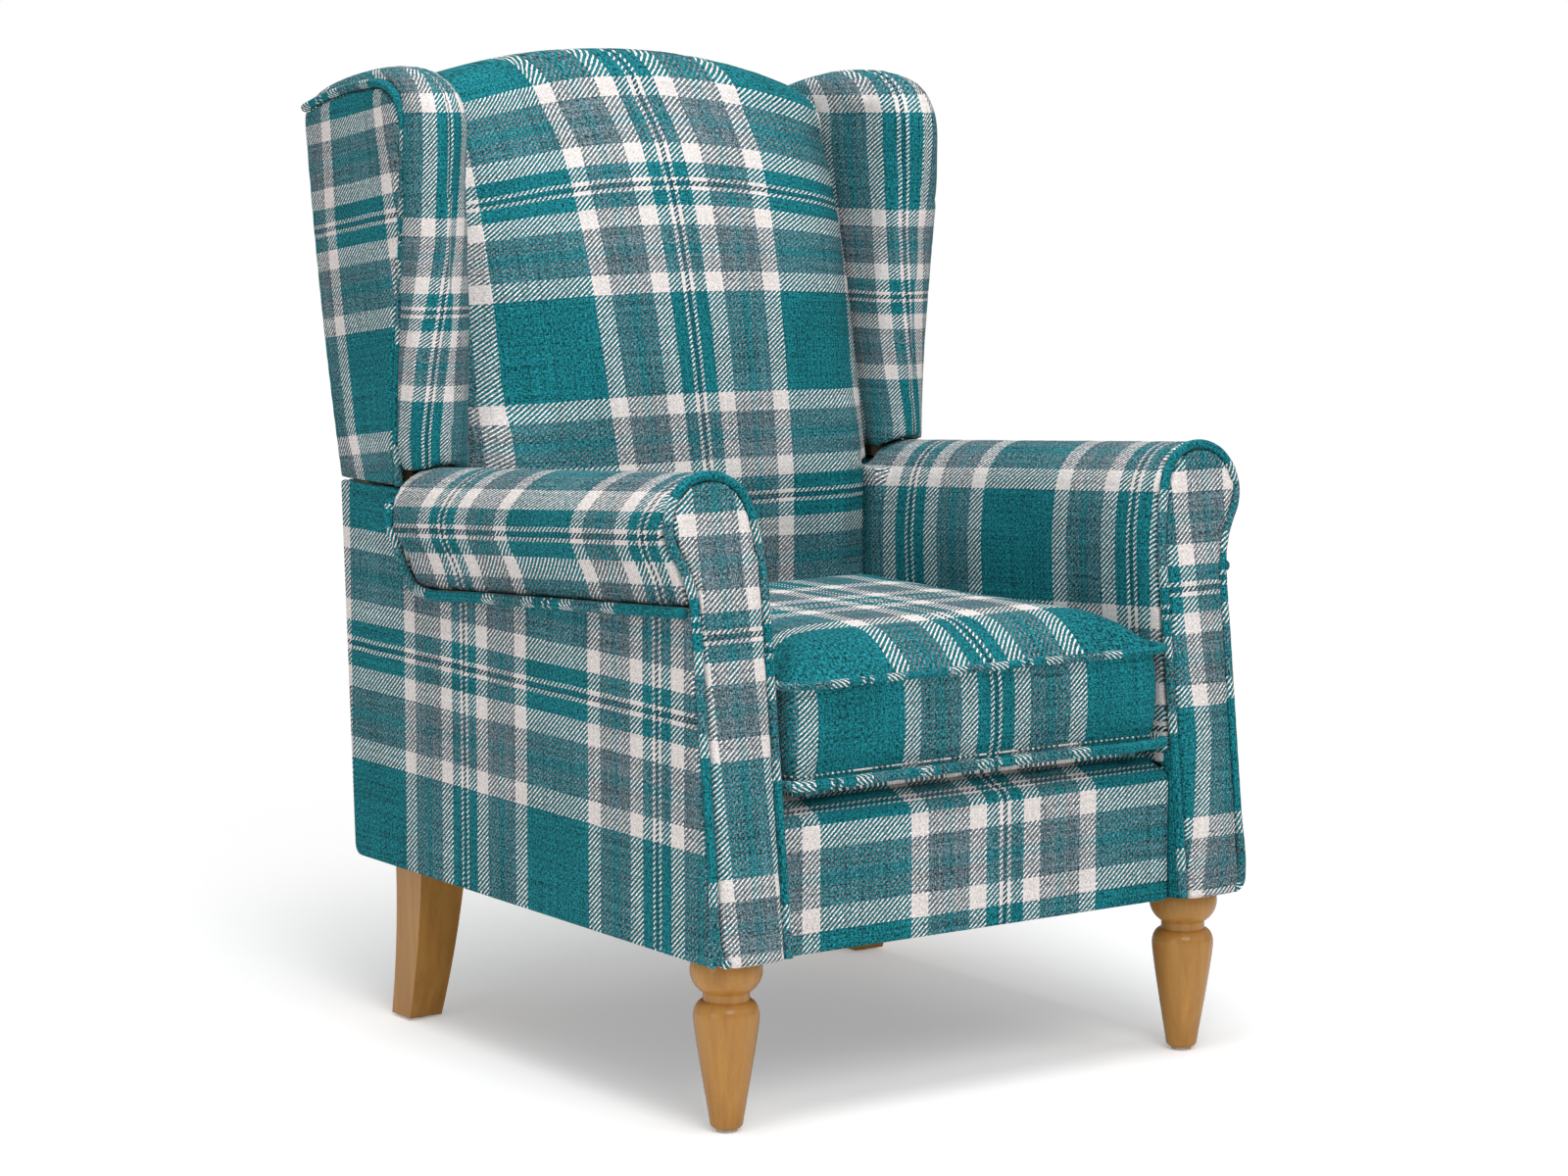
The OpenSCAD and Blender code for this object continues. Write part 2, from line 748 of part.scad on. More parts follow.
back_straps = 4;
module back_webbing() {
    set = rear_t + frame_d;
    color(lining) for (i = [0:back_straps - 1])
        let (z = mix(split_z + 2 * strap_w, stile_top_z - top_rail_h - strap_w, i / (back_straps - 1)))
        rear_timber(z - strap_w / 2, z + strap_w / 2, set - touch_gap - strap_t, strap_t, -stile_x, stile_x);
}

// Padded inside back: swells forward in the middle, rolls over the arched top
pad_cols = 14;
pad_rows = 14;
roll_over_steps = 7;
crest_steps = 4;
roll_over = 52;
low_power = 16;
high_power = 5;
power_rise_share = 0.22;
function pad_front_y(x, z) = let (
    edge_y = z < split_z ? base_rear(split_z) - back_thick : back_rear(z) - back_depth(z),
    power = mix(low_power, high_power, ease((z - split_z) / (power_rise_share * back_h))))
    edge_y - back_crown * (1 - pow(min(1, abs(x) / (post_x - touch_gap)), power));

module back_pad() {
    low_half = seat_half - touch_gap;
    high_half = post_x - touch_gap;
    set = rear_t + frame_d;
    low_z = split_z - split_gap;
    low_levels = [for (i = [0:4]) mix(deck_top_z + touch_gap, split_z + touch_gap, i / 4)];
    low_x = [for (j = [0:pad_cols]) mix(-low_half, low_half, j / pad_cols)];
    high_x = [for (j = [0:pad_cols]) mix(-high_half, high_half, j / pad_cols)];
    color(cloth) {
        slab([for (z = low_levels) [for (x = low_x) [x, pad_front_y(x, z), z]]],
            [for (z = low_levels) [for (x = low_x) [x, back_rear(z) - set, z]]]);
        slab(concat(
            [for (i = [0:pad_rows]) [for (x = high_x)
                let (z = mix(split_z + touch_gap, arch_z(x) - roll_over, i / pad_rows))
                [x, pad_front_y(x, z), z]]],
            [for (i = [1:roll_over_steps]) [for (x = high_x) roll_over_point(x, i)]]),
            concat(
            [for (i = [0:pad_rows]) [for (x = high_x)
                let (z = mix(split_z + touch_gap, arch_z(x) - top_rail_drop + touch_gap, i / pad_rows))
                [x, back_rear(z) - set, z]]],
            [for (i = [1:roll_over_steps]) [for (x = high_x)
                let (z = arch_z(x) - top_rail_drop + touch_gap)
                [x, back_rear(z) - mix(set, rear_t, i / roll_over_steps), z]]]));
    }
}

// Quarter turn from the front of the pad up to its crest, then a gentle fall to its rear edge
crest_set_share = 0.62;
function roll_over_point(x, i) = let (
    low = arch_z(x) - roll_over,
    front = pad_front_y(x, low),
    rear = back_rear(arch_z(x) - top_rail_drop) - rear_t,
    crest = mix(rear, front, crest_set_share),
    a = 90 * min(1, i / crest_steps),
    t = max(0, (i - crest_steps) / (roll_over_steps - crest_steps)))
    [x, mix(mix(front, crest, 1 - cos(a)), rear, t), low + roll_over * sin(a) - 2 * edge_drop * t * t];
edge_drop = 6;

// Outline of the outside back, from the joint up to the arch
module outside_back() {
    low_z = split_z + split_gap;
    color(cloth_light) intersection() {
        back_band(low_z, crest_z, rear_t - touch_gap, 0, -skin_x, skin_x);
        front_prism(concat([[-skin_x, low_z], [skin_x, low_z], [skin_x, wing_rear_z - edge_drop]],
            arch_line(arch_half, 2 * edge_drop), [[-skin_x, wing_rear_z - edge_drop]]), front_y, -front_y);
    }
}

// Wings

wing_foot_z = split_z + split_gap;
wing_top_z = crest_z - wing_drop;

// Side outlines of a wing as shares of its depth, from the rear, and of its height: four points up
// the front edge, three round the corner and three back along the top. The seam carries the piping,
// the full line is the padding at its thickest, and the face line is where its rounding begins.
seam_shares = [[0.73, 0], [0.674, 0.257], [0.828, 0.586], [0.842, 0.838],
    [0.842, 0.915], [0.747, 0.965], [0.575, 0.965], [0.379, 0.963], [0.168, 0.936], [0, 0.906]];
face_shares = [[0.842, 0], [0.832, 0.249], [0.895, 0.577], [0.898, 0.814],
    [0.902, 0.888], [0.828, 0.936], [0.572, 0.936], [0.379, 0.936], [0.186, 0.919], [0, 0.884]];
full_shares = [[0.944, 0], [0.933, 0.249], [0.996, 0.577], [1, 0.829],
    [1.007, 0.945], [0.905, 1], [0.572, 1], [0.379, 1], [0.168, 0.98], [0, 0.945]];
wing_steps = [8, 7, 6];
wing_rear_z = mix(wing_foot_z, wing_top_z, seam_shares[9][1]);
wing_rear_y = back_rear(wing_rear_z);
function wing_line(shares) = let (
    p = [for (s = shares) [wing_rear_y - wing_d * s[0], mix(wing_foot_z, wing_top_z, s[1])]])
    concat(curve([p[0], p[1], p[2], p[3]], wing_steps[0]),
        [for (i = [1:wing_steps[1]]) bezier([p[3], p[4], p[5], p[6]], i / wing_steps[1])],
        [for (i = [1:wing_steps[2]]) bezier([p[6], p[7], p[8], p[9]], i / wing_steps[2])]);

// The splay starts part way up the wing and grows from its middle to its front edge
splay_z_shares = [0.3, 0.8];
splay_y_shares = [0.45, 0.9];
function splay(y, z) = let (
    up = ((z - split_z) / back_h - splay_z_shares[0]) / (splay_z_shares[1] - splay_z_shares[0]),
    out = ((wing_rear_y - y) / wing_d - splay_y_shares[0]) / (splay_y_shares[1] - splay_y_shares[0]))
    wing_splay * ease(up) * ease(out);

// Closes a wing's outline down its rear edge, set in front of the back's rear line, in as many points
rear_edge_drop = 3;
function wing_side(line, set) = let (n = len(line) - 1, top = line[n][1] - rear_edge_drop)
    concat([for (p = line) [min(p[0], back_rear(p[1]) - set), p[1]]],
        [for (i = [0:n]) let (z = mix(top, wing_foot_z, i / n)) [back_rear(z) - set, z]]);

// Draws an outline in: rearwards up the front edge, downwards along the top
turn_shares = [0.22, 0.84];
function drawn_in(line, inset) = [for (i = [0:len(line) - 1])
    let (turn = ease((i / (len(line) - 1) - turn_shares[0]) / (turn_shares[1] - turn_shares[0])))
    line[i] + inset * unit([1 - turn, -turn])];

module wing_board_form() {
    side_prism(wing_side(drawn_in(wing_line(seam_shares), wing_wrap), rear_t), rail_x, skin_x);
}

module wing_board_left() {
    color(pine) left_side() wing_board_form();
}

module wing_board_right() {
    color(pine) wing_board_form();
}

// Padding of a wing, in sections across its rounded nose from the outer to the inner face
nose_shares = [-1, -0.88, -0.55, 0, 0.55, 0.88, 1];
module wing_pad_form() {
    mid_x = (post_x + body_half) / 2;
    half = (body_half - post_x) / 2;
    face = wing_line(face_shares);
    full = wing_line(full_shares);
    rings = [for (s = nose_shares)
        let (line = [for (i = [0:len(full) - 1]) mix(face[i], full[i], sqrt(1 - s * s))])
        [for (p = wing_side(line, rear_t)) [mid_x - half * s + splay(p[0], p[1]), p[0], p[1]]]];
    difference() {
        skin(rings, bent = true);
        wing_hollow(drawn_in(wing_line(seam_shares), wing_wrap), rail_x, skin_x + cut_over);
        wing_hollow(wing_line(seam_shares), skin_x, body_half + wing_splay + cut_over);
        back_band(split_z - wing_wrap, stile_top_z + touch_gap, rear_t + frame_d + touch_gap, -wing_wrap,
            post_x - cut_over, rail_x + cut_over);
        along_arm() front_prism(arc([roll_x, 0], roll_r + touch_gap, 0, 360, 36), 0, reach);
    }
}

// Room in the padding behind an outline, open below and to the rear
module wing_hollow(line, x_from, x_to) {
    side_prism(concat(line, [[reach, line[len(line) - 1][1]], [reach, split_z - wing_wrap],
        [line[0][0], split_z - wing_wrap]]), x_from, x_to);
}

module wing_pad_left() {
    color(cloth) left_side() wing_pad_form();
}

module wing_pad_right() {
    color(cloth) wing_pad_form();
}

wing_cord_room = 1.2;
module wing_outer_form() {
    outline = wing_side(drawn_in(wing_line(seam_shares), 2 * piping_r + wing_cord_room), 0);
    skin([[for (p = outline) [body_half + splay(p[0], p[1]), p[0], p[1]]],
        [for (p = outline) [skin_x, p[0], p[1]]]], bent = true);
}

module wing_outer_left() {
    color(cloth_light) left_side() wing_outer_form();
}

module wing_outer_right() {
    color(cloth_light) wing_outer_form();
}

module wing_piping_form() {
    cord([for (p = drawn_in(wing_line(seam_shares), piping_r + wing_cord_room / 2))
        [skin_x + piping_r + splay(p[0], p[1]), p[0], p[1]]], piping_r, [1, 0, 0]);
}

module wing_piping_left() {
    color(cloth_dark) left_side() wing_piping_form();
}

module wing_piping_right() {
    color(cloth_dark) wing_piping_form();
}

// Interlocking steel plates that hold the back on the base

plate_t = 3;
plate_w = 15;
plate_drop = 62;
plate_rise = 40;
plate_gap = 0.6;
plate_y = base_rear(split_z - plate_drop) - rear_t - rail_thin_t - plate_w - touch_gap;
screw_r = 1.9;
screw_l = 20;
screw_head_r = 3.4;
screw_head_t = 2.2;
screw_low_z = split_z - plate_drop / 2;
screw_high_z = split_z + plate_rise / 2 + plate_t;
screw_pitch = 18;
screw_rise = 12;

// Screws enter the timber along X, from the inner face of the posts or stiles
module at_bracket_screws(upper) {
    zs = upper ? [screw_high_z - screw_rise / 2, screw_high_z + screw_rise / 2]
        : [screw_low_z - screw_pitch / 2, screw_low_z + screw_pitch / 2];
    for (z = zs) translate([stile_x, plate_y + plate_w / 2, z]) rotate([0, 90, 0]) children();
}

module screw_seats(face_t) {
    translate([0, 0, -face_t - cut_over]) {
        cylinder(r = screw_r + bore_gap, h = face_t + 2 * cut_over, $fn = 32);
        cylinder(r = screw_head_r + bore_gap, h = cut_over + screw_head_t + bore_gap, $fn = 32);
    }
}

module screw_form(face_t) {
    translate([0, 0, -face_t]) {
        cylinder(r = screw_head_r, h = screw_head_t, $fn = 32);
        cylinder(r = screw_r, h = face_t + screw_l - touch_gap, $fn = 32);
    }
}

lip_w = 4;
channel_h = plate_t + 2 * plate_gap;
module back_hook_plates() {
    z_low = split_z - plate_drop;
    z_high = split_z - 2 * split_gap;
    color(steel) both_sides() difference() {
        block([stile_x - plate_t - channel_h - plate_t, plate_y, z_low],
            [stile_x, plate_y + plate_w, z_high]);
        block([stile_x - plate_t - channel_h, plate_y + plate_t, z_low - cut_over],
            [stile_x - plate_t, plate_y + plate_w - plate_t, z_high + cut_over]);
        block([stile_x - reach, plate_y + lip_w, z_low - cut_over],
            [stile_x - plate_t - plate_gap, plate_y + plate_w - lip_w, z_high + cut_over]);
        at_bracket_screws(false) screw_seats(plate_t);
    }
}

module back_tongue_plates() {
    inner = stile_x - plate_t - plate_gap - plate_t;
    z_low = split_z - plate_drop + plate_t;
    z_mid = split_z + plate_t;
    color(steel) both_sides() difference() {
        union() {
            block([inner, plate_y + plate_t + plate_gap, z_low],
                [inner + plate_t, plate_y + plate_w - plate_t - plate_gap, z_mid]);
            block([inner, plate_y, z_mid], [stile_x, plate_y + plate_w, split_z + plate_rise]);
        }
        at_bracket_screws(true) screw_seats(stile_x - inner);
    }
}

module bracket_screws() {
    color(steel) both_sides() {
        at_bracket_screws(false) screw_form(plate_t);
        at_bracket_screws(true) screw_form(2 * plate_t + plate_gap);
    }
}

// Loose seat cushion

cushion_half = seat_half - touch_gap;
cushion_low_z = deck_top_z + touch_gap + cushion_belly;
cushion_high_z = cushion_low_z + cushion_wall;
cushion_front_y = front_y + (cushion_high_z - leg_h) * tan(facing_lean) - cushion_proud;
cushion_rear_y = pad_front_y(0, cushion_low_z) - touch_gap;
cushion_mid_y = (cushion_front_y + cushion_rear_y) / 2;
cushion_depth_half = (cushion_rear_y - cushion_front_y) / 2;
cushion_corner = 26;
corner_steps = 4;
side_steps = 5;

// Rounded rectangle with its sides pulled in, drawn in by an inset
function cushion_edge(inset) = let (
    a = cushion_half - inset,
    b = cushion_depth_half - inset,
    r = cushion_corner - inset / 2,
    quarter = concat(
        [for (i = [0:side_steps - 1]) [a, mix(0, b - r, i / side_steps)]],
        [for (i = [0:corner_steps]) let (t = 90 * i / corner_steps) [a - r + r * cos(t), b - r + r * sin(t)]],
        [for (i = [side_steps - 1:-1:1]) [mix(0, a - r, i / side_steps), b]]),
    half = concat(quarter, [[0, b]],
        [for (i = [len(quarter) - 1:-1:1]) [-quarter[i][0], quarter[i][1]]], [[-a, 0]]),
    full = concat(half, [for (i = [len(half) - 2:-1:1]) [half[i][0], -half[i][1]]]))
    [for (p = full) let (u = p[0] / a, v = p[1] / b) [
        p[0] - sign(p[0]) * cushion_pull * (1 - v * v) * pow(abs(u), 4),
        p[1] - sign(p[1]) * cushion_pull * (1 - u * u) * pow(abs(v), 4)]];

function cushion_ring(inset, z) = [for (p = cushion_edge(inset)) [p[0], p[1] + cushion_mid_y, z]];
function cushion_rise(share, z, rise) = [for (p = cushion_edge(2 * cord_r))
    [p[0] * share, p[1] * share + cushion_mid_y, z + rise * (1 - pow(share, crown_power))]];

crown_shares = [0.97, 0.9, 0.78, 0.6, 0.3];
crown_power = 7;

// The seam under each piping, a groove in the cushion's wall
groove_r = 1.15 * cord_r;
groove_depth = 2.15 * cord_r;
groove_floor = 0.55 * cord_r;
function piping_groove(z) = [cushion_ring(cord_r, z - groove_r), cushion_ring(groove_depth, z - groove_floor),
    cushion_ring(groove_depth, z + groove_floor), cushion_ring(cord_r, z + groove_r)];

wall_shares = [0.22, 0.5, 0.78];
module seat_cushion() {
    wall_in = cord_r / 4;
    function wall_z(i) = mix(cushion_low_z, cushion_high_z, wall_shares[i]);
    color(cloth) skin(concat(
        [for (i = [len(crown_shares) - 1:-1:0])
            cushion_rise(crown_shares[i], cushion_low_z - groove_r, groove_r - cushion_belly)],
        piping_groove(cushion_low_z),
        [cushion_ring(wall_in, wall_z(0)), cushion_ring(0, wall_z(1)), cushion_ring(wall_in, wall_z(2))],
        piping_groove(cushion_high_z),
        [for (share = crown_shares)
            cushion_rise(share, cushion_high_z + groove_r, cushion_crown - groove_r)]));
}

module cushion_piping(z) {
    cord(cushion_ring(cord_r, z), cord_r, [0, 0, 1], true);
}

module cushion_piping_top() {
    color(cloth_dark) cushion_piping(cushion_high_z);
}

module cushion_piping_bottom() {
    color(cloth_dark) cushion_piping(cushion_low_z);
}

front_leg_left();
front_leg_right();
rear_leg_left();
rear_leg_right();
leg_glides();
hanger_bolts();
leg_tee_nuts();
front_rail();
rear_rail();
side_rail_left();
side_rail_right();
corner_blocks();
front_post_left();
front_post_right();
rear_post_left();
rear_post_right();
base_top_rail();
arm_rail_left();
arm_rail_right();
arm_liner_rails();
facing_boards();
seat_webbing();
deck_pad();
front_border();
dust_cover();
outside_arm_left();
outside_arm_right();
arm_pad_left();
arm_pad_right();
arm_facing_left();
arm_facing_right();
facing_piping_left();
facing_piping_right();
arm_piping_left();
arm_piping_right();
base_rear_panel();
back_stiles();
back_top_rail();
back_lower_rail();
back_webbing();
back_pad();
outside_back();
wing_board_left();
wing_board_right();
wing_pad_left();
wing_pad_right();
wing_outer_left();
wing_outer_right();
wing_piping_left();
wing_piping_right();
back_hook_plates();
back_tongue_plates();
bracket_screws();
seat_cushion();
cushion_piping_top();
cushion_piping_bottom();
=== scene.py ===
import math

import bmesh
import bpy
import numpy as np
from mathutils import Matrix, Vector
from mathutils.bvhtree import BVHTree


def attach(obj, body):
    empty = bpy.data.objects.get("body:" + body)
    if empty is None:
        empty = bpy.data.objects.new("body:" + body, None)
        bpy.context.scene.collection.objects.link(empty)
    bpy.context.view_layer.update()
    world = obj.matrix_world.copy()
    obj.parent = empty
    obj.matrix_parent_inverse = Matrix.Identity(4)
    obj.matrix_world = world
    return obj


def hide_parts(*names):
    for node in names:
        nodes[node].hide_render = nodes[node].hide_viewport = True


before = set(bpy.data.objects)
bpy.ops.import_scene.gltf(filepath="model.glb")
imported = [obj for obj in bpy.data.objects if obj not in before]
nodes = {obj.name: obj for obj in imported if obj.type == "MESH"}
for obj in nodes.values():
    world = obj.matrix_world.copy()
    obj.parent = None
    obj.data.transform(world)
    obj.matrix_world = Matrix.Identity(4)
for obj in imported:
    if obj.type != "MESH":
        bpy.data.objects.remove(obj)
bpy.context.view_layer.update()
scene = bpy.context.scene
scene.view_settings.view_transform = "Standard"
print("frame loaded:", len(nodes), "nodes")

# the chair's main lines, in metres, as the solids have them
chair = {
    "frontY": -0.413, "floorToBody": 0.174, "bodyHalf": 0.338, "seatHalf": 0.247,
    "split": 0.590, "backHeight": 0.474,  # where the back stands on the base, and how high it is
    "facingX": 0.2925, "facingLean": math.radians(6.5), "neckR": 0.110,
    "rollX": 0.3095, "rollY": -0.3648, "rollZ": 0.5973, "rollR": 0.0535,
    "armFall": math.radians(3.7), "pipingR": 0.005,
}


# node helpers

def addNode(net, kind, **settings):
    node = net.nodes.new(kind)
    for key, value in settings.items():
        setattr(node, key, value)
    return node


def feed(net, socket, value):
    # a number, colour or vector is written into the socket; an output is wired to it
    if isinstance(value, (int, float)):
        socket.default_value = value
    elif isinstance(value, tuple):
        socket.default_value = (*value, 1) if len(socket.default_value) > len(value) else value
    else:
        net.links.new(value, socket)


def feedAll(net, node, values):
    for name, value in values.items():
        feed(net, node.inputs[name], value)


def calc(net, operation, *values):
    node = addNode(net, "ShaderNodeMath", operation=operation)
    for socket, value in zip(node.inputs, values):
        feed(net, socket, value)
    return node.outputs[0]


def swing(net, value, middle, gain, base):
    # base, plus gain times the distance of value from middle
    return calc(net, "MULTIPLY_ADD", calc(net, "SUBTRACT", value, middle), gain, base)


def clamped(net, value):
    return calc(net, "MINIMUM", calc(net, "MAXIMUM", value, 0.0), 1.0)


def blendColour(net, share, a, b, mode="MIX"):
    node = addNode(net, "ShaderNodeMix", data_type="RGBA", blend_type=mode)
    for socket, value in ((node.inputs[0], share), (node.inputs[6], a), (node.inputs[7], b)):
        feed(net, socket, value)
    return node.outputs[2]


def addBump(net, shader, height, strength, distance):
    bump = addNode(net, "ShaderNodeBump")
    feedAll(net, bump, {"Strength": strength, "Distance": distance, "Height": height})
    feed(net, shader.inputs["Normal"], bump.outputs[0])


def newMaterial(name):
    mat = bpy.data.materials.new(name)
    mat.use_nodes = True
    return mat, mat.node_tree, mat.node_tree.nodes["Principled BSDF"]


# camera and studio

studio = {
    "cameraAt": (-2.3523, -3.4099, 0.9903), "cameraBack": (-0.56804, -0.81382, 0.12262),
    "lens": 88.39, "sensor": 36, "clip": (0.05, 100),
    "lights": {  # place, size and power
        "keyLight": ((-1.1, -3.2, 3.2), 2.2, 57),
        "fillLight": ((2.4, -3.2, 2.2), 2.6, 13),
        "sideLight": ((-3.2, -1.0, 0.9), 1.6, 12),
        "topLight": ((-0.3, -0.6, 3.6), 2.4, 74),
    },
    "lightsAim": (0, 0, 0.5), "worldLight": 0.37,
    "floorHalf": 9, "floor": (0.93, 0.93, 0.93), "floorRoughness": 0.9, "floorSpecular": 0.1,
    "floorLift": 0.29, "floorFade": (0.75, 1.7),
}


def meshObject(name, verts, faces):
    mesh = bpy.data.meshes.new(name)
    mesh.from_pydata([tuple(v) for v in verts], [], [tuple(int(i) for i in f) for f in faces])
    mesh.validate()
    obj = bpy.data.objects.new(name, mesh)
    scene.collection.objects.link(obj)
    return obj


def aimed(obj, back):
    obj.rotation_euler = Vector(back).to_track_quat("Z", "Y").to_euler()


def areaLight(name, at, size, power):
    data = bpy.data.lights.new(name, "AREA")
    data.shape = "DISK"
    data.size = size
    data.energy = power
    obj = bpy.data.objects.new(name, data)
    scene.collection.objects.link(obj)
    obj.location = at
    aimed(obj, Vector(at) - Vector(studio["lightsAim"]))


def placeCamera():
    data = bpy.data.cameras.new("photoCamera")
    cam = bpy.data.objects.new("photoCamera", data)
    scene.collection.objects.link(cam)
    data.sensor_width = studio["sensor"]
    data.lens = studio["lens"]
    data.clip_start, data.clip_end = studio["clip"]
    cam.location = studio["cameraAt"]
    aimed(cam, studio["cameraBack"])
    scene.camera = cam


def setWorld():
    # soft light all round, seen by the camera as plain white
    world = bpy.data.worlds.new("studioWorld")
    scene.world = world
    world.use_nodes = True
    net = world.node_tree
    net.nodes.clear()
    out = addNode(net, "ShaderNodeOutputWorld")
    light, white = addNode(net, "ShaderNodeBackground"), addNode(net, "ShaderNodeBackground")
    feedAll(net, light, {"Color": (1, 1, 1), "Strength": studio["worldLight"]})
    feedAll(net, white, {"Color": (1, 1, 1), "Strength": 1})
    path = addNode(net, "ShaderNodeLightPath")
    pick = addNode(net, "ShaderNodeMixShader")
    for socket, value in zip(pick.inputs, (path.outputs["Is Camera Ray"], light.outputs[0],
                                           white.outputs[0])):
        feed(net, socket, value)
    feed(net, out.inputs["Surface"], pick.outputs[0])


def floorPaper():
    # white paper: the camera sees it a little lifted, and fading to white away from the chair
    mat, net, shader = newMaterial("floorPaper")
    feedAll(net, shader, {"Base Color": studio["floor"], "Roughness": studio["floorRoughness"],
                          "Specular IOR Level": studio["floorSpecular"]})
    lift, white = addNode(net, "ShaderNodeEmission"), addNode(net, "ShaderNodeEmission")
    feed(net, lift.inputs["Strength"], studio["floorLift"])
    at = addNode(net, "ShaderNodeTexCoord")
    far = addNode(net, "ShaderNodeVectorMath", operation="LENGTH")
    feed(net, far.inputs[0], at.outputs["Object"])
    start, end = studio["floorFade"]
    fade = addNode(net, "ShaderNodeMapRange", interpolation_type="SMOOTHSTEP")
    feedAll(net, fade, {"From Min": start, "From Max": end, "Value": far.outputs["Value"]})
    lifted = addNode(net, "ShaderNodeAddShader")
    faded, seen = addNode(net, "ShaderNodeMixShader"), addNode(net, "ShaderNodeMixShader")
    path = addNode(net, "ShaderNodeLightPath")
    for node, values in ((lifted, (shader.outputs[0], lift.outputs[0])),
                         (faded, (fade.outputs[0], lifted.outputs[0], white.outputs[0])),
                         (seen, (path.outputs["Is Camera Ray"], shader.outputs[0],
                                 faded.outputs[0]))):
        for socket, value in zip(node.inputs, values):
            feed(net, socket, value)
    feed(net, net.nodes["Material Output"].inputs["Surface"], seen.outputs[0])
    return mat


def setStudio():
    placeCamera()
    for name, (at, size, power) in studio["lights"].items():
        areaLight(name, at, size, power)
    setWorld()
    h = studio["floorHalf"]
    floor = meshObject("studioFloor", [(-h, -h, 0), (h, -h, 0), (h, h, 0), (-h, h, 0)],
                       [(0, 1, 2, 3)])
    floor.data.materials.append(floorPaper())


setStudio()
print("studio set")


# materials

check = {
    # the stripes, in metres from the middle of the fine pair
    "repeat": 0.375, "wideAt": (0.037, 0.116), "wide": 0.023, "pairAt": 0.0054, "thin": 0.0046,
    "slateGapAt": 0.0765, "slateGap": 0.012, "slateGapDepth": 0.6,
    # the yarns' colours
    "teal": (0.008, 0.158, 0.186), "cream": (0.78, 0.72, 0.70), "dark": (0.006, 0.080, 0.105),
    "slateWarm": (0.215, 0.215, 0.235), "slateCool": (0.020, 0.130, 0.155),
    # twill: the diagonal ribs' size, how crisp they are, and how far the paler yarn wins
    "twillAcross": 0.0068, "twillUp": 0.0054, "ribCrisp": 2.4, "paleWins": 0.95,
    # painted shade of the twill: how deep it is, and the level where the ribs meet in their troughs
    "ribShade": 0.30, "paintedRibShadeBase": 0.78,
    # heather: sizes across and along, and depths
    "fibre": (0.0013, 0.0036), "fibreDepth": 3.6, "fleck": (0.0016, 0.0022), "fleckCrisp": 4.0,
    "streak": (0.0022, 0.16), "streakDepth": 1.2, "cloud": (0.12, 0.12), "cloudDepth": 0.35,
    "calmPale": -0.35, "calmCross": -0.42, "darkest": 0.15,
    "wander": (0.045, 0.045), "wanderBy": 0.0016,
    # surface
    "roughness": 0.88, "specular": 0.1, "sheen": 0.02, "sheenRoughness": 0.5,
    "ribHeight": 0.35, "fibreHeight": 0.9, "bump": 0.5, "bumpDepth": 0.0005,
}


def clothNoise(net, u, v, size, detail=2.0):
    # noise on the flat cloth, drawn out to a size across and along
    at = addNode(net, "ShaderNodeCombineXYZ")
    feed(net, at.inputs[0], calc(net, "DIVIDE", u, size[0]))
    feed(net, at.inputs[1], calc(net, "DIVIDE", v, size[1]))
    node = addNode(net, "ShaderNodeTexNoise", noise_dimensions="2D")
    feedAll(net, node, {"Scale": 1, "Detail": detail, "Vector": at.outputs[0]})
    return node.outputs["Fac"]


def bothWays(net, u, v, size):
    return calc(net, "ADD", clothNoise(net, u, v, size), clothNoise(net, u, v, size[::-1]))


def band(net, place, centre, width):
    # 1 inside a stripe of this width around the centre, 0 outside
    off = calc(net, "ABSOLUTE", calc(net, "SUBTRACT", place, centre))
    return calc(net, "LESS_THAN", off, width / 2)


def threadColour(net, along, slateTone):
    # the threads' colour at a place across the check: wide pale stripes, a fine pair, slate bands
    half = check["repeat"] / 2
    folded = calc(net, "ABSOLUTE", calc(net, "WRAP", along, half, -half))
    near, far = check["wideAt"]
    pale = calc(net, "MAXIMUM", band(net, folded, near, check["wide"]),
                band(net, folded, far, check["wide"]))
    pale = calc(net, "MAXIMUM", pale, band(net, folded, check["pairAt"], check["thin"]))
    slate = band(net, folded, (near + far) / 2, far - near)
    gap = band(net, folded, check["slateGapAt"], check["slateGap"])
    held = calc(net, "SUBTRACT", 1.0, calc(net, "MULTIPLY", gap, check["slateGapDepth"]))
    ground = blendColour(net, calc(net, "MULTIPLY", slate, held), check["teal"], slateTone)
    between = calc(net, "LESS_THAN", folded, check["pairAt"] - check["thin"] / 2)
    ground = blendColour(net, between, ground, check["dark"])
    return blendColour(net, pale, ground, check["cream"]), pale


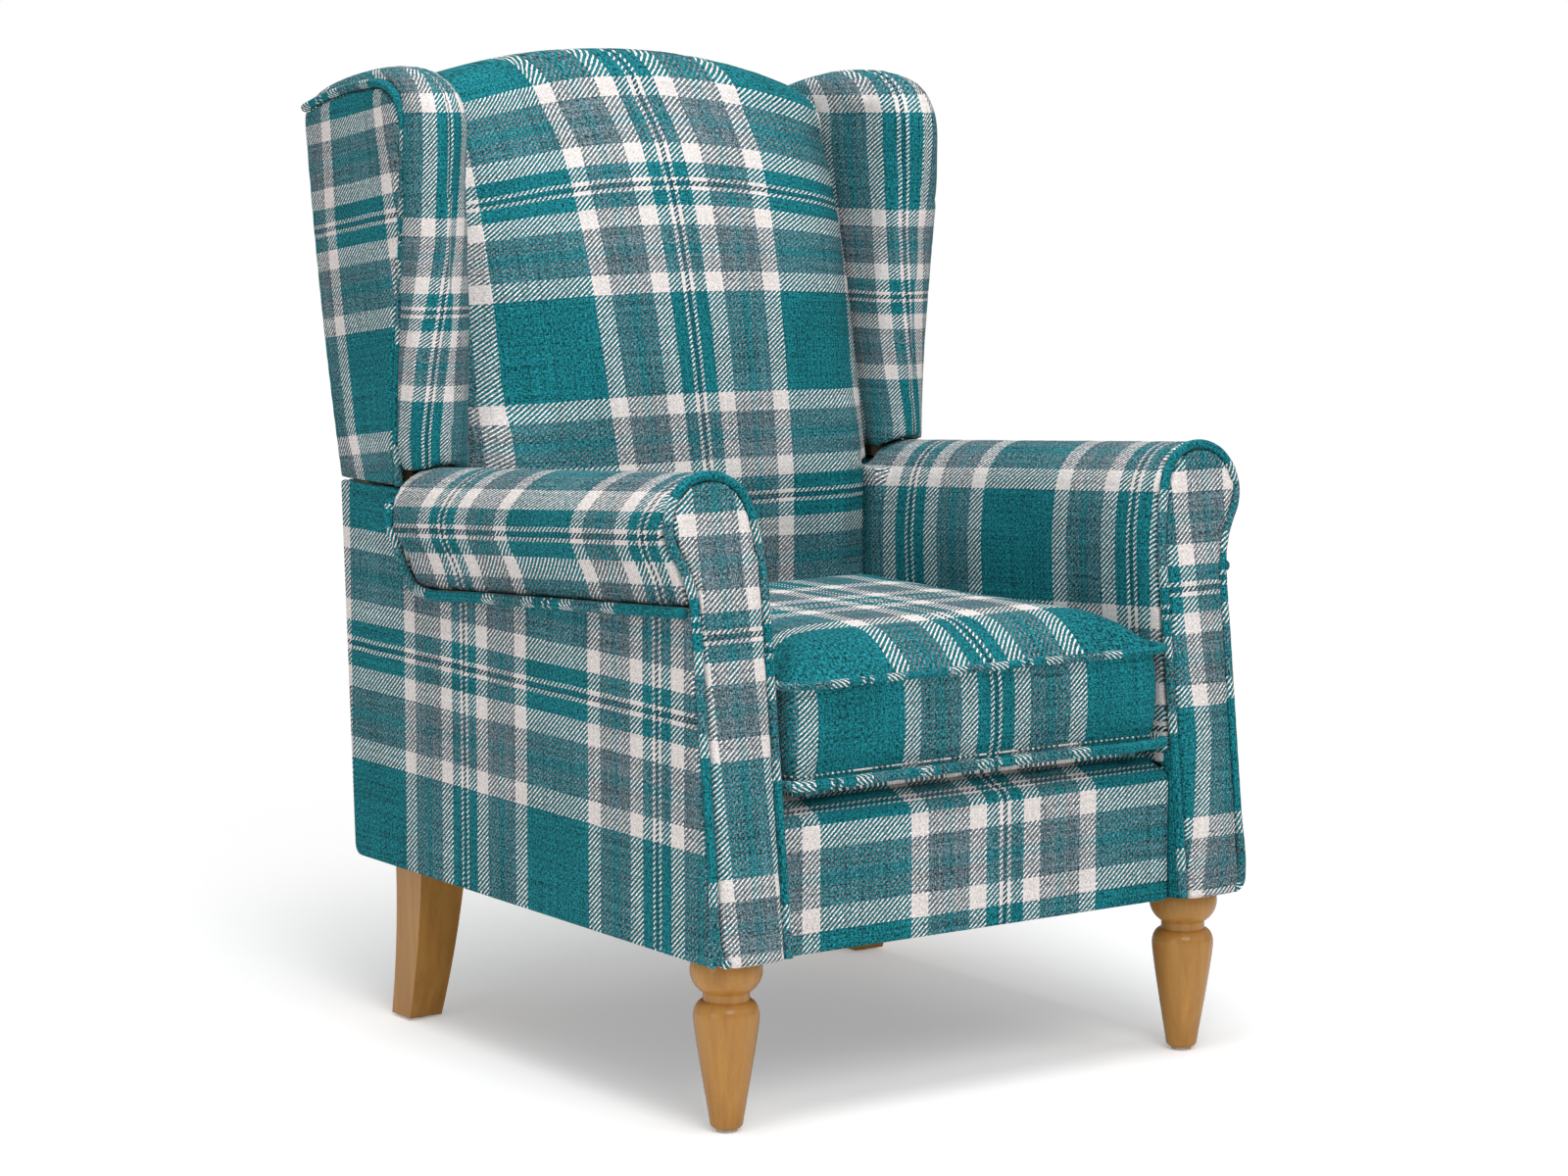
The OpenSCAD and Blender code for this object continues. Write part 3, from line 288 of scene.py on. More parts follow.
def checkCloth(name):
    mat, net, shader = newMaterial(name)
    laid = addNode(net, "ShaderNodeUVMap", uv_map="cloth")
    parts = addNode(net, "ShaderNodeSeparateXYZ")
    feed(net, parts.inputs[0], laid.outputs[0])
    u, v = parts.outputs[0], parts.outputs[1]

    # heather: every yarn is spun from darker and lighter fibres
    grain = bothWays(net, u, v, check["fibre"])
    fleck = clothNoise(net, u, v, check["fleck"], 1.0)
    fleck = clamped(net, swing(net, fleck, 0.5, check["fleckCrisp"], 0.5))
    slateTone = blendColour(net, fleck, check["slateCool"], check["slateWarm"])

    # threads wander a little off their lines
    shift = swing(net, clothNoise(net, u, v, check["wander"]), 0.5, check["wanderBy"], 0.0)
    warp, warpPale = threadColour(net, calc(net, "ADD", u, shift), slateTone)
    weft, weftPale = threadColour(net, calc(net, "ADD", v, shift), slateTone)

    # two-over-two twill: diagonal ribs of warp and weft
    across = calc(net, "MULTIPLY", u, 2 * math.pi / check["twillAcross"])
    rib = calc(net, "MULTIPLY_ADD", v, -2 * math.pi / check["twillUp"], across)
    rib = calc(net, "SINE", rib)
    paler = calc(net, "SUBTRACT", warpPale, weftPale)
    ribShare = calc(net, "MULTIPLY_ADD", rib, check["ribCrisp"], 0.5)
    ribShare = calc(net, "MULTIPLY_ADD", paler, check["paleWins"], ribShare)
    colour = blendColour(net, clamped(net, ribShare), warp, weft)

    # light and dark along the threads, held back on the pale stripes and where two of them cross
    level = swing(net, grain, 1.0, check["fibreDepth"], 1.0)
    level = swing(net, bothWays(net, u, v, check["streak"]), 1.0, check["streakDepth"], level)
    cloud = clothNoise(net, u, v, check["cloud"])
    level = swing(net, cloud, 0.5, check["cloudDepth"], level)
    pale = calc(net, "MAXIMUM", warpPale, weftPale)
    cross = calc(net, "MULTIPLY", warpPale, weftPale)
    calm = calc(net, "MULTIPLY_ADD", pale, check["calmPale"], 1.0)
    calm = calc(net, "MULTIPLY_ADD", cross, check["calmCross"], calm)
    level = calc(net, "MAXIMUM", swing(net, level, 1.0, calm, 1.0), check["darkest"])
    # painted light and shade of the twill: darker where warp and weft ribs meet in the troughs, a
    # little lighter on their crests; shade is this painted shade together with the heather's own
    # tone
    paintedRibShade = calc(net, "ABSOLUTE", rib)
    paintedRibShade = calc(net, "MULTIPLY_ADD", paintedRibShade, check["ribShade"], check["paintedRibShadeBase"])
    level = calc(net, "MULTIPLY", level, paintedRibShade)
    shade = addNode(net, "ShaderNodeCombineXYZ")
    for socket in shade.inputs:
        feed(net, socket, level)
    colour = blendColour(net, 1.0, colour, shade.outputs[0], "MULTIPLY")

    height = calc(net, "MULTIPLY", grain, check["fibreHeight"])
    height = calc(net, "MULTIPLY_ADD", rib, check["ribHeight"], height)
    addBump(net, shader, height, check["bump"], check["bumpDepth"])
    feedAll(net, shader, {"Base Color": colour, "Roughness": check["roughness"],
                          "Sheen Weight": check["sheen"],
                          "Sheen Roughness": check["sheenRoughness"],
                          "Specular IOR Level": check["specular"]})
    return mat


def solidNoise(net, at, scale, detail=2, distortion=0):
    # noise through the solid, with its own scale along X, Y and Z
    place = addNode(net, "ShaderNodeMapping")
    feedAll(net, place, {"Scale": scale, "Vector": at})
    node = addNode(net, "ShaderNodeTexNoise")
    feedAll(net, node, {"Scale": 1, "Detail": detail, "Distortion": distortion,
                        "Vector": place.outputs[0]})
    return node.outputs["Fac"]


wood = {
    "leg": {"light": (0.530, 0.262, 0.054), "dark": (0.330, 0.138, 0.024), "roughness": 0.45,
            "coat": 0.55},
    "frame": {"light": (0.62, 0.44, 0.25), "dark": (0.42, 0.27, 0.13), "roughness": 0.7,
              "coat": 0.0},
    "rings": (95, 95, 4.5), "ringDepth": 1.21, "ringBase": 0.42, "ringBend": 0.6,
    "pores": (900, 900, 70), "poreDepth": 0.5,
    "specular": 0.2, "coatRoughness": 0.2, "bump": 0.15, "bumpDepth": 0.0002,
}


def grainedWood(name, use):
    mat, net, shader = newMaterial(name)
    at = addNode(net, "ShaderNodeTexCoord").outputs["Object"]
    rings = solidNoise(net, at, wood["rings"], 3, wood["ringBend"])
    pores = solidNoise(net, at, wood["pores"])
    share = swing(net, rings, 0.5, wood["ringDepth"], wood["ringBase"])
    share = clamped(net, swing(net, pores, 0.5, wood["poreDepth"], share))
    addBump(net, shader, pores, wood["bump"], wood["bumpDepth"])
    feedAll(net, shader, {"Base Color": blendColour(net, share, use["light"], use["dark"]),
                          "Roughness": use["roughness"], "Coat Weight": use["coat"],
                          "Coat Roughness": wood["coatRoughness"],
                          "Specular IOR Level": wood["specular"]})
    return mat


plain = {
    "darker": 0.6, "lighter": 1.5, "lift": 0.01, "weave": 0.18, "mist": (60, 60, 60),
    "sheen": 0.1, "bump": 0.4, "bumpDepth": 0.0003,
}


def plainStuff(name, colour, pitch=0.0012, roughness=0.9):
    # one colour with a fine weave or grain of the given pitch
    mat, net, shader = newMaterial(name)
    at = addNode(net, "ShaderNodeTexCoord").outputs["Object"]
    parts = addNode(net, "ShaderNodeSeparateXYZ")
    feed(net, parts.inputs[0], at)
    waves = [calc(net, "SINE", calc(net, "MULTIPLY", parts.outputs[i], 2 * math.pi / pitch))
             for i in range(3)]
    weave = calc(net, "ADD", calc(net, "MULTIPLY", waves[0], waves[1]), waves[2])
    share = calc(net, "MULTIPLY_ADD", weave, plain["weave"], solidNoise(net, at, plain["mist"]))
    dark = tuple(c * plain["darker"] for c in colour)
    light = tuple(min(1, c * plain["lighter"] + plain["lift"]) for c in colour)
    addBump(net, shader, weave, plain["bump"], plain["bumpDepth"])
    feedAll(net, shader, {"Base Color": blendColour(net, share, dark, light),
                          "Roughness": roughness, "Sheen Weight": plain["sheen"]})
    return mat


zinc = {"dark": (0.50, 0.51, 0.53), "light": (0.72, 0.72, 0.70), "roughness": 0.38,
        "spangle": (240, 240, 240)}


def platedSteel(name):
    mat, net, shader = newMaterial(name)
    at = addNode(net, "ShaderNodeTexCoord").outputs["Object"]
    spangle = solidNoise(net, at, zinc["spangle"])
    feedAll(net, shader, {"Base Color": blendColour(net, spangle, zinc["dark"], zinc["light"]),
                          "Metallic": 1, "Roughness": zinc["roughness"]})
    return mat


cloth = checkCloth("checkCloth")
legWood = grainedWood("legWood", wood["leg"])
frameWood = grainedWood("sawnFrameWood", wood["frame"])
glidePlastic = plainStuff("glidePlastic", (0.52, 0.48, 0.40), 0.004, 0.5)
liningCloth = plainStuff("liningCloth", (0.018, 0.018, 0.020))
webbingCloth = plainStuff("webbingCloth", (0.03, 0.03, 0.032), 0.003)
steel = platedSteel("platedSteel")
print("materials made")


# mesh helpers

def each(items, key, width=1, kind=float):
    # one row for every vertex, corner or face
    got = np.empty(len(items) * width, kind)
    items.foreach_get(key, got)
    return got.reshape(-1, width) if width > 1 else got


def points(mesh):
    return each(mesh.vertices, "co", 3)


def setPoints(mesh, co):
    mesh.vertices.foreach_set("co", np.ascontiguousarray(co).ravel())
    mesh.update()


def settle(obj):
    # the modifiers' result becomes the mesh
    made = bpy.data.meshes.new_from_object(
        obj.evaluated_get(bpy.context.evaluated_depsgraph_get()))
    obj.modifiers.clear()
    old = obj.data
    obj.data = made
    made.name = obj.name
    if old.users == 0:
        bpy.data.meshes.remove(old)
    return obj


def smoothShaded(obj):
    obj.data.polygons.foreach_set("use_smooth", [True] * len(obj.data.polygons))


def outwards(obj):
    bm = bmesh.new()
    bm.from_mesh(obj.data)
    bmesh.ops.recalc_face_normals(bm, faces=bm.faces)
    bm.to_mesh(obj.data)
    bm.free()


def layCloth(obj, lay):
    # writes where each corner of each face lies on the flat cloth, in metres
    mesh = obj.data
    at = each(mesh.loops, "vertex_index", kind=int)
    faces = mesh.polygons
    spread = np.repeat(np.arange(len(faces)), each(faces, "loop_total", kind=int))
    normal, centre = each(faces, "normal", 3), each(faces, "center", 3)
    u, v = lay(points(mesh)[at], normal[spread], centre[spread])
    layer = mesh.uv_layers.get("cloth") or mesh.uv_layers.new(name="cloth")
    layer.uv.foreach_set("vector", np.stack([u, v], 1).ravel())


def dressed(obj, body, material, slotName, *replaced):
    obj.data.materials.clear()
    obj.data.materials.append(material)
    smoothShaded(obj)
    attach(obj, body)
    if replaced:
        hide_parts(*replaced)


def ease(t):
    c = np.clip(t, 0, 1)
    return c * c * (3 - 2 * c)


# soft pieces taken from their solids: softened, then swollen as cloth over foam

swelling = {"frames": 20, "quality": 4}


def softCopy(name, node, voxel, rounds):
    obj = bpy.data.objects.new(name, nodes[node].data.copy())
    scene.collection.objects.link(obj)
    obj.data.materials.clear()
    mod = obj.modifiers.new("remesh", "REMESH")
    mod.mode = "VOXEL"
    mod.voxel_size = voxel
    mod = obj.modifiers.new("soften", "SMOOTH")
    mod.factor = 0.5
    mod.iterations = rounds
    return settle(obj)


def swell(obj, cap, pressure):
    # cloth under air pressure, free to move as far as the cap
    start = points(obj.data)
    mod = obj.modifiers.new("cloth", "CLOTH")
    mod.settings.use_pressure = True
    mod.settings.uniform_pressure_force = pressure
    mod.settings.effector_weights.gravity = 0
    mod.settings.quality = swelling["quality"]
    mod.collision_settings.use_collision = False
    for f in range(1, swelling["frames"] + 1):
        scene.frame_set(f)
    moved = points(obj.evaluated_get(bpy.context.evaluated_depsgraph_get()).to_mesh())
    obj.modifiers.clear()
    scene.frame_set(1)
    step = moved - start
    size = np.linalg.norm(step, axis=1, keepdims=True)
    step *= np.minimum(1, cap / np.maximum(size, 1e-9))
    setPoints(obj.data, start + step)
    print(f"  {obj.name} swelled by {size.mean() * 1000:.1f} mm on average")


def shrunk(obj, amount):
    setPoints(obj.data, points(obj.data) - each(obj.data.vertices, "normal", 3) * amount)


# crisp pieces taken from their solids, with their edges rounded

cleaning = {"join": 1e-6, "flat": 0.02}  # metres, radians


def cleanCopy(name, node):
    # the solid's mesh with its corners joined and its flat faces whole
    obj = bpy.data.objects.new(name, nodes[node].data.copy())
    scene.collection.objects.link(obj)
    bm = bmesh.new()
    bm.from_mesh(obj.data)
    bmesh.ops.remove_doubles(bm, verts=bm.verts, dist=cleaning["join"])
    bmesh.ops.dissolve_limit(bm, angle_limit=cleaning["flat"], verts=bm.verts, edges=bm.edges)
    bm.to_mesh(obj.data)
    bm.free()
    obj.data.materials.clear()
    return obj


def bevelled(obj, width, segments=4, angle=35):
    mod = obj.modifiers.new("edges", "BEVEL")
    mod.width = width
    mod.segments = segments
    mod.limit_method = "ANGLE"
    mod.angle_limit = math.radians(angle)
    mod.use_clamp_overlap = True
    settle(obj)
    smoothShaded(obj)
    mod = obj.modifiers.new("shade", "WEIGHTED_NORMAL")
    mod.keep_sharp = True
    return settle(obj)


# covered cords

cord = {
    "sides": 12, "spacing": 0.005, "sideFirst": (0.13, 0.31, 0.94),
    "tight": 0.02, "tightEvery": 0.021, "tightDrift": 1.3, "tightDriftRate": 19,
    "clothAt": 0.172,
}


def smoothPath(path, spacing, closed=False):
    # a smooth line through the points, cut into even steps
    p = np.array(path, float)
    if closed:
        p = np.vstack([p[-2:], p, p[:3]])
    chord = np.linalg.norm(np.diff(p, axis=0), axis=1)
    t = np.concatenate([[0], np.cumsum(chord)])
    slope = np.gradient(p, t, axis=0)
    first, last = (2, len(p) - 3) if closed else (0, len(p) - 1)
    made = []
    for i in range(first, last):
        step = t[i + 1] - t[i]
        count = max(1, int(round(step / spacing)))
        for k in range(count):
            s = k / count
            h = (2 * s**3 - 3 * s**2 + 1, s**3 - 2 * s**2 + s, -2 * s**3 + 3 * s**2, s**3 - s**2)
            made.append(h[0] * p[i] + h[1] * step * slope[i]
                        + h[2] * p[i + 1] + h[3] * step * slope[i + 1])
    if not closed:
        made.append(p[-1])
    return np.array(made)


def pipe(name, path, radius, closed=False, offset=0.0, lengthScale=1.0, sides=cord["sides"],
         spacing=cord["spacing"]):
    # rings along a path, with the cloth laid along its length
    p = smoothPath(path, spacing, closed)
    n = len(p)
    ahead = np.roll(p, -1, 0) - np.roll(p, 1, 0)
    if not closed:
        ahead[0], ahead[-1] = p[1] - p[0], p[-1] - p[-2]
    ahead /= np.linalg.norm(ahead, axis=1, keepdims=True)
    side = np.cross(ahead[0], cord["sideFirst"])
    sideways = []
    for k in range(n):
        side = side - ahead[k] * side.dot(ahead[k])
        side /= np.linalg.norm(side)
        sideways.append(side)
    sideways = np.array(sideways)
    up = np.cross(ahead, sideways)
    turn = np.zeros(n)
    if closed:
        # the turn gathered on the way round is given back evenly
        lost = math.atan2(sideways[0].dot(up[-1]), sideways[0].dot(sideways[-1]))
        turn = np.linspace(0, 1, n) * lost
    length = np.concatenate([[0], np.cumsum(np.linalg.norm(np.diff(p, axis=0), axis=1))])
    whole = length[-1] + (np.linalg.norm(p[0] - p[-1]) if closed else 0)
    angles = np.linspace(0, 2 * math.pi, sides, endpoint=False)
    drift = cord["tightDrift"] * np.sin(length * cord["tightDriftRate"])
    girth = 1 + cord["tight"] * np.sin(length * 2 * math.pi / cord["tightEvery"] + drift)
    verts = np.array([[p[k] + radius * girth[k] * (math.cos(a + turn[k]) * sideways[k]
                                                  + math.sin(a + turn[k]) * up[k])
                       for a in angles] for k in range(n)]).reshape(-1, 3)
    faces, laid = [], []
    for k in range(n if closed else n - 1):
        nextRow = (k + 1) % n
        l0, l1 = length[k], length[k + 1] if k + 1 < n else whole
        for j in range(sides):
            m = (j + 1) % sides
            faces.append((k * sides + j, k * sides + m, nextRow * sides + m, nextRow * sides + j))
            a0, a1 = (radius * 2 * math.pi * q / sides for q in (j, j + 1))
            laid += [(l0, a0), (l0, a1), (l1, a1), (l1, a0)]
    if not closed:
        faces.append(tuple(range(sides - 1, -1, -1)))
        faces.append(tuple((n - 1) * sides + j for j in range(sides)))
        laid += [(0, 0)] * sides + [(whole, 0)] * sides
    obj = meshObject(name, verts, faces)
    laid = np.array(laid)
    laid[:, 0] = (laid[:, 0] - offset) / lengthScale
    laid[:, 1] += cord["clothAt"]
    obj.data.uv_layers.new(name="cloth").uv.foreach_set("vector", laid.ravel())
    outwards(obj)
    return obj


# outlines of the arm fronts and wings

def bezierLine(p, count):
    p = np.array(p, float)
    t = np.linspace(0, 1, count + 1)[:, None]
    q = 1 - t
    return q**3 * p[0] + 3 * q * q * t * p[1] + 3 * q * t * t * p[2] + t**3 * p[3]


def arcLine(centre, r, start, end, count):
    a = np.radians(np.linspace(start, end, count + 1))
    return np.stack([centre[0] + r * np.cos(a), centre[1] + r * np.sin(a)], 1)


scroll = {"rise": 0.426, "footRise": 0.360, "turnAt": 165, "lead": 0.022, "corner": 0.016,
          "innerRises": (0, 0.09, 0.18, 0.27, 0.33), "outerRises": (0.27, 0.18, 0.09)}


def facingEdge(inset):
    # up the inner side, round the scroll and down the hollow neck, in x and height along the lean
    rollAt, rise, r = chair["rollX"], scroll["rise"], chair["rollR"] - inset
    neckX = chair["bodyHalf"] + chair["neckR"]
    neckDrop = math.sqrt((chair["rollR"] + chair["neckR"])**2 - (neckX - rollAt)**2)
    touch = -math.degrees(math.atan2(neckDrop, neckX - rollAt))
    foot = np.array([chair["seatHalf"] + inset, scroll["footRise"]])
    turn = math.radians(scroll["turnAt"])
    head = np.array([rollAt + r * math.cos(turn), rise + r * math.sin(turn)])
    lead, corner = scroll["lead"], scroll["corner"]
    headLead = lead * np.array([math.sin(turn), -math.cos(turn)])
    return np.vstack([
        [[foot[0], z] for z in scroll["innerRises"]],
        bezierLine([foot, foot + [0, lead], head - headLead, head], 5),
        arcLine((rollAt, rise), r, scroll["turnAt"], touch, 20)[1:],
        arcLine((neckX, rise - neckDrop), chair["neckR"] + inset, 180 + touch, 180, 6)[1:],
        [[chair["bodyHalf"] - inset, z] for z in scroll["outerRises"]],
        arcLine((chair["bodyHalf"] - corner, corner), corner - inset, 0, -90, 4),
    ])


def leanPoint(x, depth, rise):
    a = chair["facingLean"]
    return (x, chair["frontY"] + depth * math.cos(a) + rise * math.sin(a),
            chair["floorToBody"] - depth * math.sin(a) + rise * math.cos(a))


def armPoint(x, along, above):
    a = chair["armFall"]
    return (x, chair["rollY"] + along * math.cos(a) + above * math.sin(a),
            chair["rollZ"] - along * math.sin(a) + above * math.cos(a))


wing = {
    "rearY": 0.406, "depth": 0.285, "footZ": 0.5915, "topZ": 1.043, "skinX": 0.329,
    "noseX": 0.305, "nosePoints": 16,
    "splay": 0.008, "splayUp": (0.3, 0.5), "splayOut": (0.45, 0.45), "seamTurn": (0.22, 0.62),
    "seam": [[0.73, 0], [0.674, 0.257], [0.828, 0.586], [0.842, 0.838], [0.842, 0.915],
             [0.747, 0.965], [0.575, 0.965], [0.379, 0.963], [0.168, 0.936], [0, 0.906]],
    "full": [[0.944, 0], [0.933, 0.249], [0.996, 0.577], [1, 0.829], [1.007, 0.945],
             [0.905, 1], [0.572, 1], [0.379, 1], [0.168, 0.98], [0, 0.945]],
}


def wingLine(which):
    p = [(wing["rearY"] - wing["depth"] * a, wing["footZ"] + (wing["topZ"] - wing["footZ"]) * b)
         for a, b in wing[which]]
    return np.vstack([bezierLine(p[0:4], 8), bezierLine(p[3:7], 7)[1:], bezierLine(p[6:10], 6)[1:]])


def wingSeam(inset):
    line = wingLine("seam")
    start, over = wing["seamTurn"]
    turn = ease((np.linspace(0, 1, len(line)) - start) / over)
    out = np.stack([1 - turn, -turn], 1)
    return line + inset * out / np.linalg.norm(out, axis=1, keepdims=True)


def splay(y, z):
    # how far the wings lean outwards
    startUp, overUp = wing["splayUp"]
    startOut, overOut = wing["splayOut"]
    up = ease(((z - chair["split"]) / chair["backHeight"] - startUp) / overUp)
    return wing["splay"] * up * ease(((wing["rearY"] - y) / wing["depth"] - startOut) / overOut)


# how the cloth lies on each piece: u across the upright stripes, v across the level ones

# the far wide stripe's place, the way to the next one, and half the repeat
stripe = {"at": 0.117, "next": 0.141, "halfRepeat": 0.1875}

panelCloth = {"middleY": -0.308, "levelZ": 0.411, "spread": 0.99}


def layBaseSide(co, normal, centre):
    u = np.sign(co[:, 0]) * (co[:, 1] - panelCloth["middleY"]) / panelCloth["spread"]
    return u, co[:, 2] - panelCloth["levelZ"]


def layRear(co, normal, centre):
    return -co[:, 0] / panelCloth["spread"], co[:, 2] - panelCloth["levelZ"]


borderCloth = {"middleX": 0.029, "spread": 0.93, "turnY": -0.388, "levelZ": 0.325, "rise": 1.04}


def layBorder(co, normal, centre):
    use = borderCloth
    over = np.maximum(0, co[:, 1] - use["turnY"])
    v = (co[:, 2] + over - use["levelZ"]) / use["rise"]
    return (co[:, 0] - use["middleX"]) / use["spread"], v


facingCloth = {
    "left": {"pairAt": 0.319, "spread": 0.94, "rise": (0, 0.45), "inner": (0.251, 0.270)},
    "right": {"pairAt": 0.324, "spread": 0.965, "rise": (0.01, 0.07, 0.17, 0.25, 0.40),
              "inner": (0.262, 0.275, 0.287, 0.282, 0.277)},
    "across": 1.14, "turnDepth": 0.003,
}


def layFacing(side):
    def lay(co, normal, centre):
        a = chair["facingLean"]
        dy, dz = co[:, 1] - chair["frontY"], co[:, 2] - chair["floorToBody"]
        rise = dy * math.sin(a) + dz * math.cos(a)
        depth = dy * math.cos(a) - dz * math.sin(a)
        use, x = facingCloth[side], np.abs(co[:, 0])
        inner = np.interp(rise, use["rise"], use["inner"])
        around = np.sign(x - chair["facingX"]) * np.maximum(0, depth - facingCloth["turnDepth"])
        u = -stripe["at"] + (x - inner) * facingCloth["across"] + around
        return u * (-1 if side == "left" else 1), (rise - use["pairAt"]) / use["spread"]
    return lay


armCloth = {
    "seamTurn": -0.576, "belowSeam": 0.0292,
    "slantAround": [-0.03, 0, 0.06, 0.12], "slant": [-0.006, 0, 0.026, 0.036],
    "left": {"pairAt": 0.043, "spread": 1.03, "aroundAt": 0.009, "climb": 0.005, "length": 0.54},
    "right": {"pairAt": 0.045, "spread": 1.04, "aroundAt": -0.040},
}


def layArm(side):
    def lay(co, normal, centre):
        a = chair["armFall"]
        dy, dz = co[:, 1] - chair["rollY"], co[:, 2] - chair["rollZ"]
        along = dy * math.cos(a) - dz * math.sin(a)
        above = dy * math.sin(a) + dz * math.cos(a)
        out = np.abs(co[:, 0]) - chair["rollX"]
        turn = np.arctan2(above, out)
        r, seam = chair["rollR"], armCloth["seamTurn"]
        around = r * turn
        around = np.where(turn < seam, seam * r + above + armCloth["belowSeam"], around)
        around = np.where((out < 0) & (above < 0), r * math.pi - above, around)
        use = armCloth[side]
        if side == "left":
            shift = np.interp(around, armCloth["slantAround"], armCloth["slant"])
            return (-(along - use["pairAt"] + shift) / use["spread"],
                    around + use["aroundAt"] + use["climb"] * along / use["length"])
        return (along - use["pairAt"]) / use["spread"], around + use["aroundAt"]
    return lay


backCloth = {
    "droopZ": [0.60, 0.665, 0.80, 0.90, 1.02], "droop": [0, 0.005, 0.009, 0.026, 0.037],
    "droopHalf": 0.24, "droopMost": 1.3,
    "middleZ": [0.60, 0.90, 0.96, 1.05], "middle": [0.018, 0.014, 0.012, -0.009],
    "spreadZ": [0.60, 0.92, 1.05], "spread": [0.90, 1.02, 1.07],
    "pairZ": 0.912, "rise": 1.071, "nextAt": -0.237, "overY": 0.330, "overZ": 0.98,
}


def layBack(co, normal, centre):
    use = backCloth
    x, y, z = co.T
    outward = np.minimum(use["droopMost"], np.abs(x) / use["droopHalf"])
    z = z + np.interp(z, use["droopZ"], use["droop"]) * outward**2
    middle = np.interp(z, use["middleZ"], use["middle"])
    spread = np.interp(z, use["spreadZ"], use["spread"])
    u = (x - middle) / spread
    last = middle - stripe["at"] * spread
    beyond = -stripe["at"] - (last - x) * stripe["next"] / (last - use["nextAt"])
    u = np.where(x < last, beyond, u)
    over = np.maximum(0, y - use["overY"]) * (z > use["overZ"])
    return u, (z - use["pairZ"]) * use["rise"] + over


wingOuterCloth = {
    "frontZ": [0.60, 0.87, 0.93, 1.0], "front": [0.170, 0.200, 0.210, 0.230],
    "rearZ": [0.60, 0.65, 0.75, 0.87, 1.01], "rear": [0.283, 0.303, 0.320, 0.340, 0.353],
    "slope": 0.125, "slopeY": 0.210, "pairZ": 0.880, "spread": 0.925,
}


def layWingOuter(side):
    def lay(co, normal, centre):
        use = wingOuterCloth
        x, y, z = co.T
        front = np.interp(z, use["frontZ"], use["front"])
        rear = np.interp(z, use["rearZ"], use["rear"])
        u = stripe["at"] + (y - front) * stripe["next"] / (rear - front)
        v = z + use["slope"] * (y - use["slopeY"]) - use["pairZ"]
        return u * np.sign(x), v / use["spread"]
    return lay


# where the stripes run on the wings' noses: distances inward from the middle, by height
noseCloth = {
    "left": {"z": [0.650, 0.737, 0.800, 0.855, 0.944],
             "outer": [-0.081, -0.069, -0.049, -0.036, -0.029],
             "pair": [-0.039, -0.026, -0.014, -0.003, 0.002],
             "inner": [-0.010, -0.001, 0.007, 0.018, 0.035],
             "far": [0.065, 0.075, 0.085, 0.095, 0.110]},
    "right": {"z": [0.633, 0.727, 0.854, 0.951],
              "outer": [-0.032, -0.017, 0.000, -0.005], "pair": [-0.008, 0.007, 0.029, 0.038],
              "inner": [0.021, 0.044, 0.072, 0.091], "far": [0.091, 0.119, 0.162, 0.190]},
    "stripes": (-0.037, 0, 0.037, 0.117),
    "level": [0.590, 0.693, 0.7515, 0.780, 0.809, 0.870, 1.000, 1.060],
    "across": [-0.258, -0.117, -0.037, 0, 0.037, 0.117, 0.258, 0.33],
}


def layWingPad(side):
    def lay(co, normal, centre):
        x, y, z = np.abs(co[:, 0]), co[:, 1], co[:, 2]
        front = wingLine("full")[:wing["nosePoints"]]
        nose = np.interp(z, front[:, 1], front[:, 0])
        inward = wing["noseX"] + splay(nose, z) - x
        w = inward + np.sign(inward) * np.maximum(0, y - nose)
        use, values = noseCloth[side], noseCloth["stripes"]
        knots = [np.interp(z, use["z"], use[k]) for k in ("outer", "pair", "inner", "far")]
        u = values[0] + (w - knots[0])
        for k in range(3):
            share = (w - knots[k]) / (knots[k + 1] - knots[k])
            u = np.where(w > knots[k], values[k] + share * (values[k + 1] - values[k]), u)
        u = np.where(w > knots[3], values[3] + (w - knots[3]), u)
        v = np.interp(z, noseCloth["level"], noseCloth["across"])
        return u * (1 if side == "left" else -1), v
    return lay


# the seat cushion

cushion = {
    "wallTop": 0.4383, "wallLow": 0.3413, "halfWide": 0.2467, "halfDeep": 0.2678,
    "middleY": -0.1351, "cornerR": 0.026, "pull": 0.005,
    "edge": 0.001, "underBelow": 0.003, "underZ": 0.3255, "underRise": 0.0110, "underPower": 44,
    "seamZ": 0.3475, "seamR": 0.0011, "seamSides": 6, "seamSpacing": 0.012, "seamPower": 9,
    "seamReach": 0.05, "seamLift": 0.0002,
}
seatPad = {"voxel": 0.0065, "soften": 3, "slack": 0.004, "cap": 0.008, "pressure": 4, "fill": 0.8}
cushionCloth = {
    "flatX": 0.015, "flatSpread": 0.935, "sidesFrom": 0.13, "sidesDraw": 0.25,
    "topY": -0.180, "topSpread": 1.03, "underY": -0.10,
    "frontX": 0.020, "frontSpread": 0.91, "sideY": -0.10, "sideSpread": 0.95, "wallZ": 0.39,
}


def layCushion(co, normal, centre):
    use = cushionCloth
    x, y, z = co.T
    top = centre[:, 2] > cushion["wallTop"] + cushion["edge"]
    under = centre[:, 2] < cushion["wallLow"] - cushion["edge"]
    wallFront = np.abs(normal[:, 1]) > np.abs(normal[:, 0])
    drawn = use["sidesDraw"] * np.maximum(0, np.abs(x) - use["sidesFrom"]) * np.sign(x)
    flatU = (x - drawn - use["flatX"]) / use["flatSpread"]
    frontU = (x - use["frontX"]) / use["frontSpread"]
    sideU = np.sign(x) * (y - use["sideY"]) / use["sideSpread"]
    u = np.where(top | under, flatU, np.where(wallFront, frontU, sideU))
    wallV = stripe["halfRepeat"] + (z - use["wallZ"])
    v = np.where(top, (y - use["topY"]) / use["topSpread"],
                 np.where(under, y - use["underY"], wallV))
    return u, v


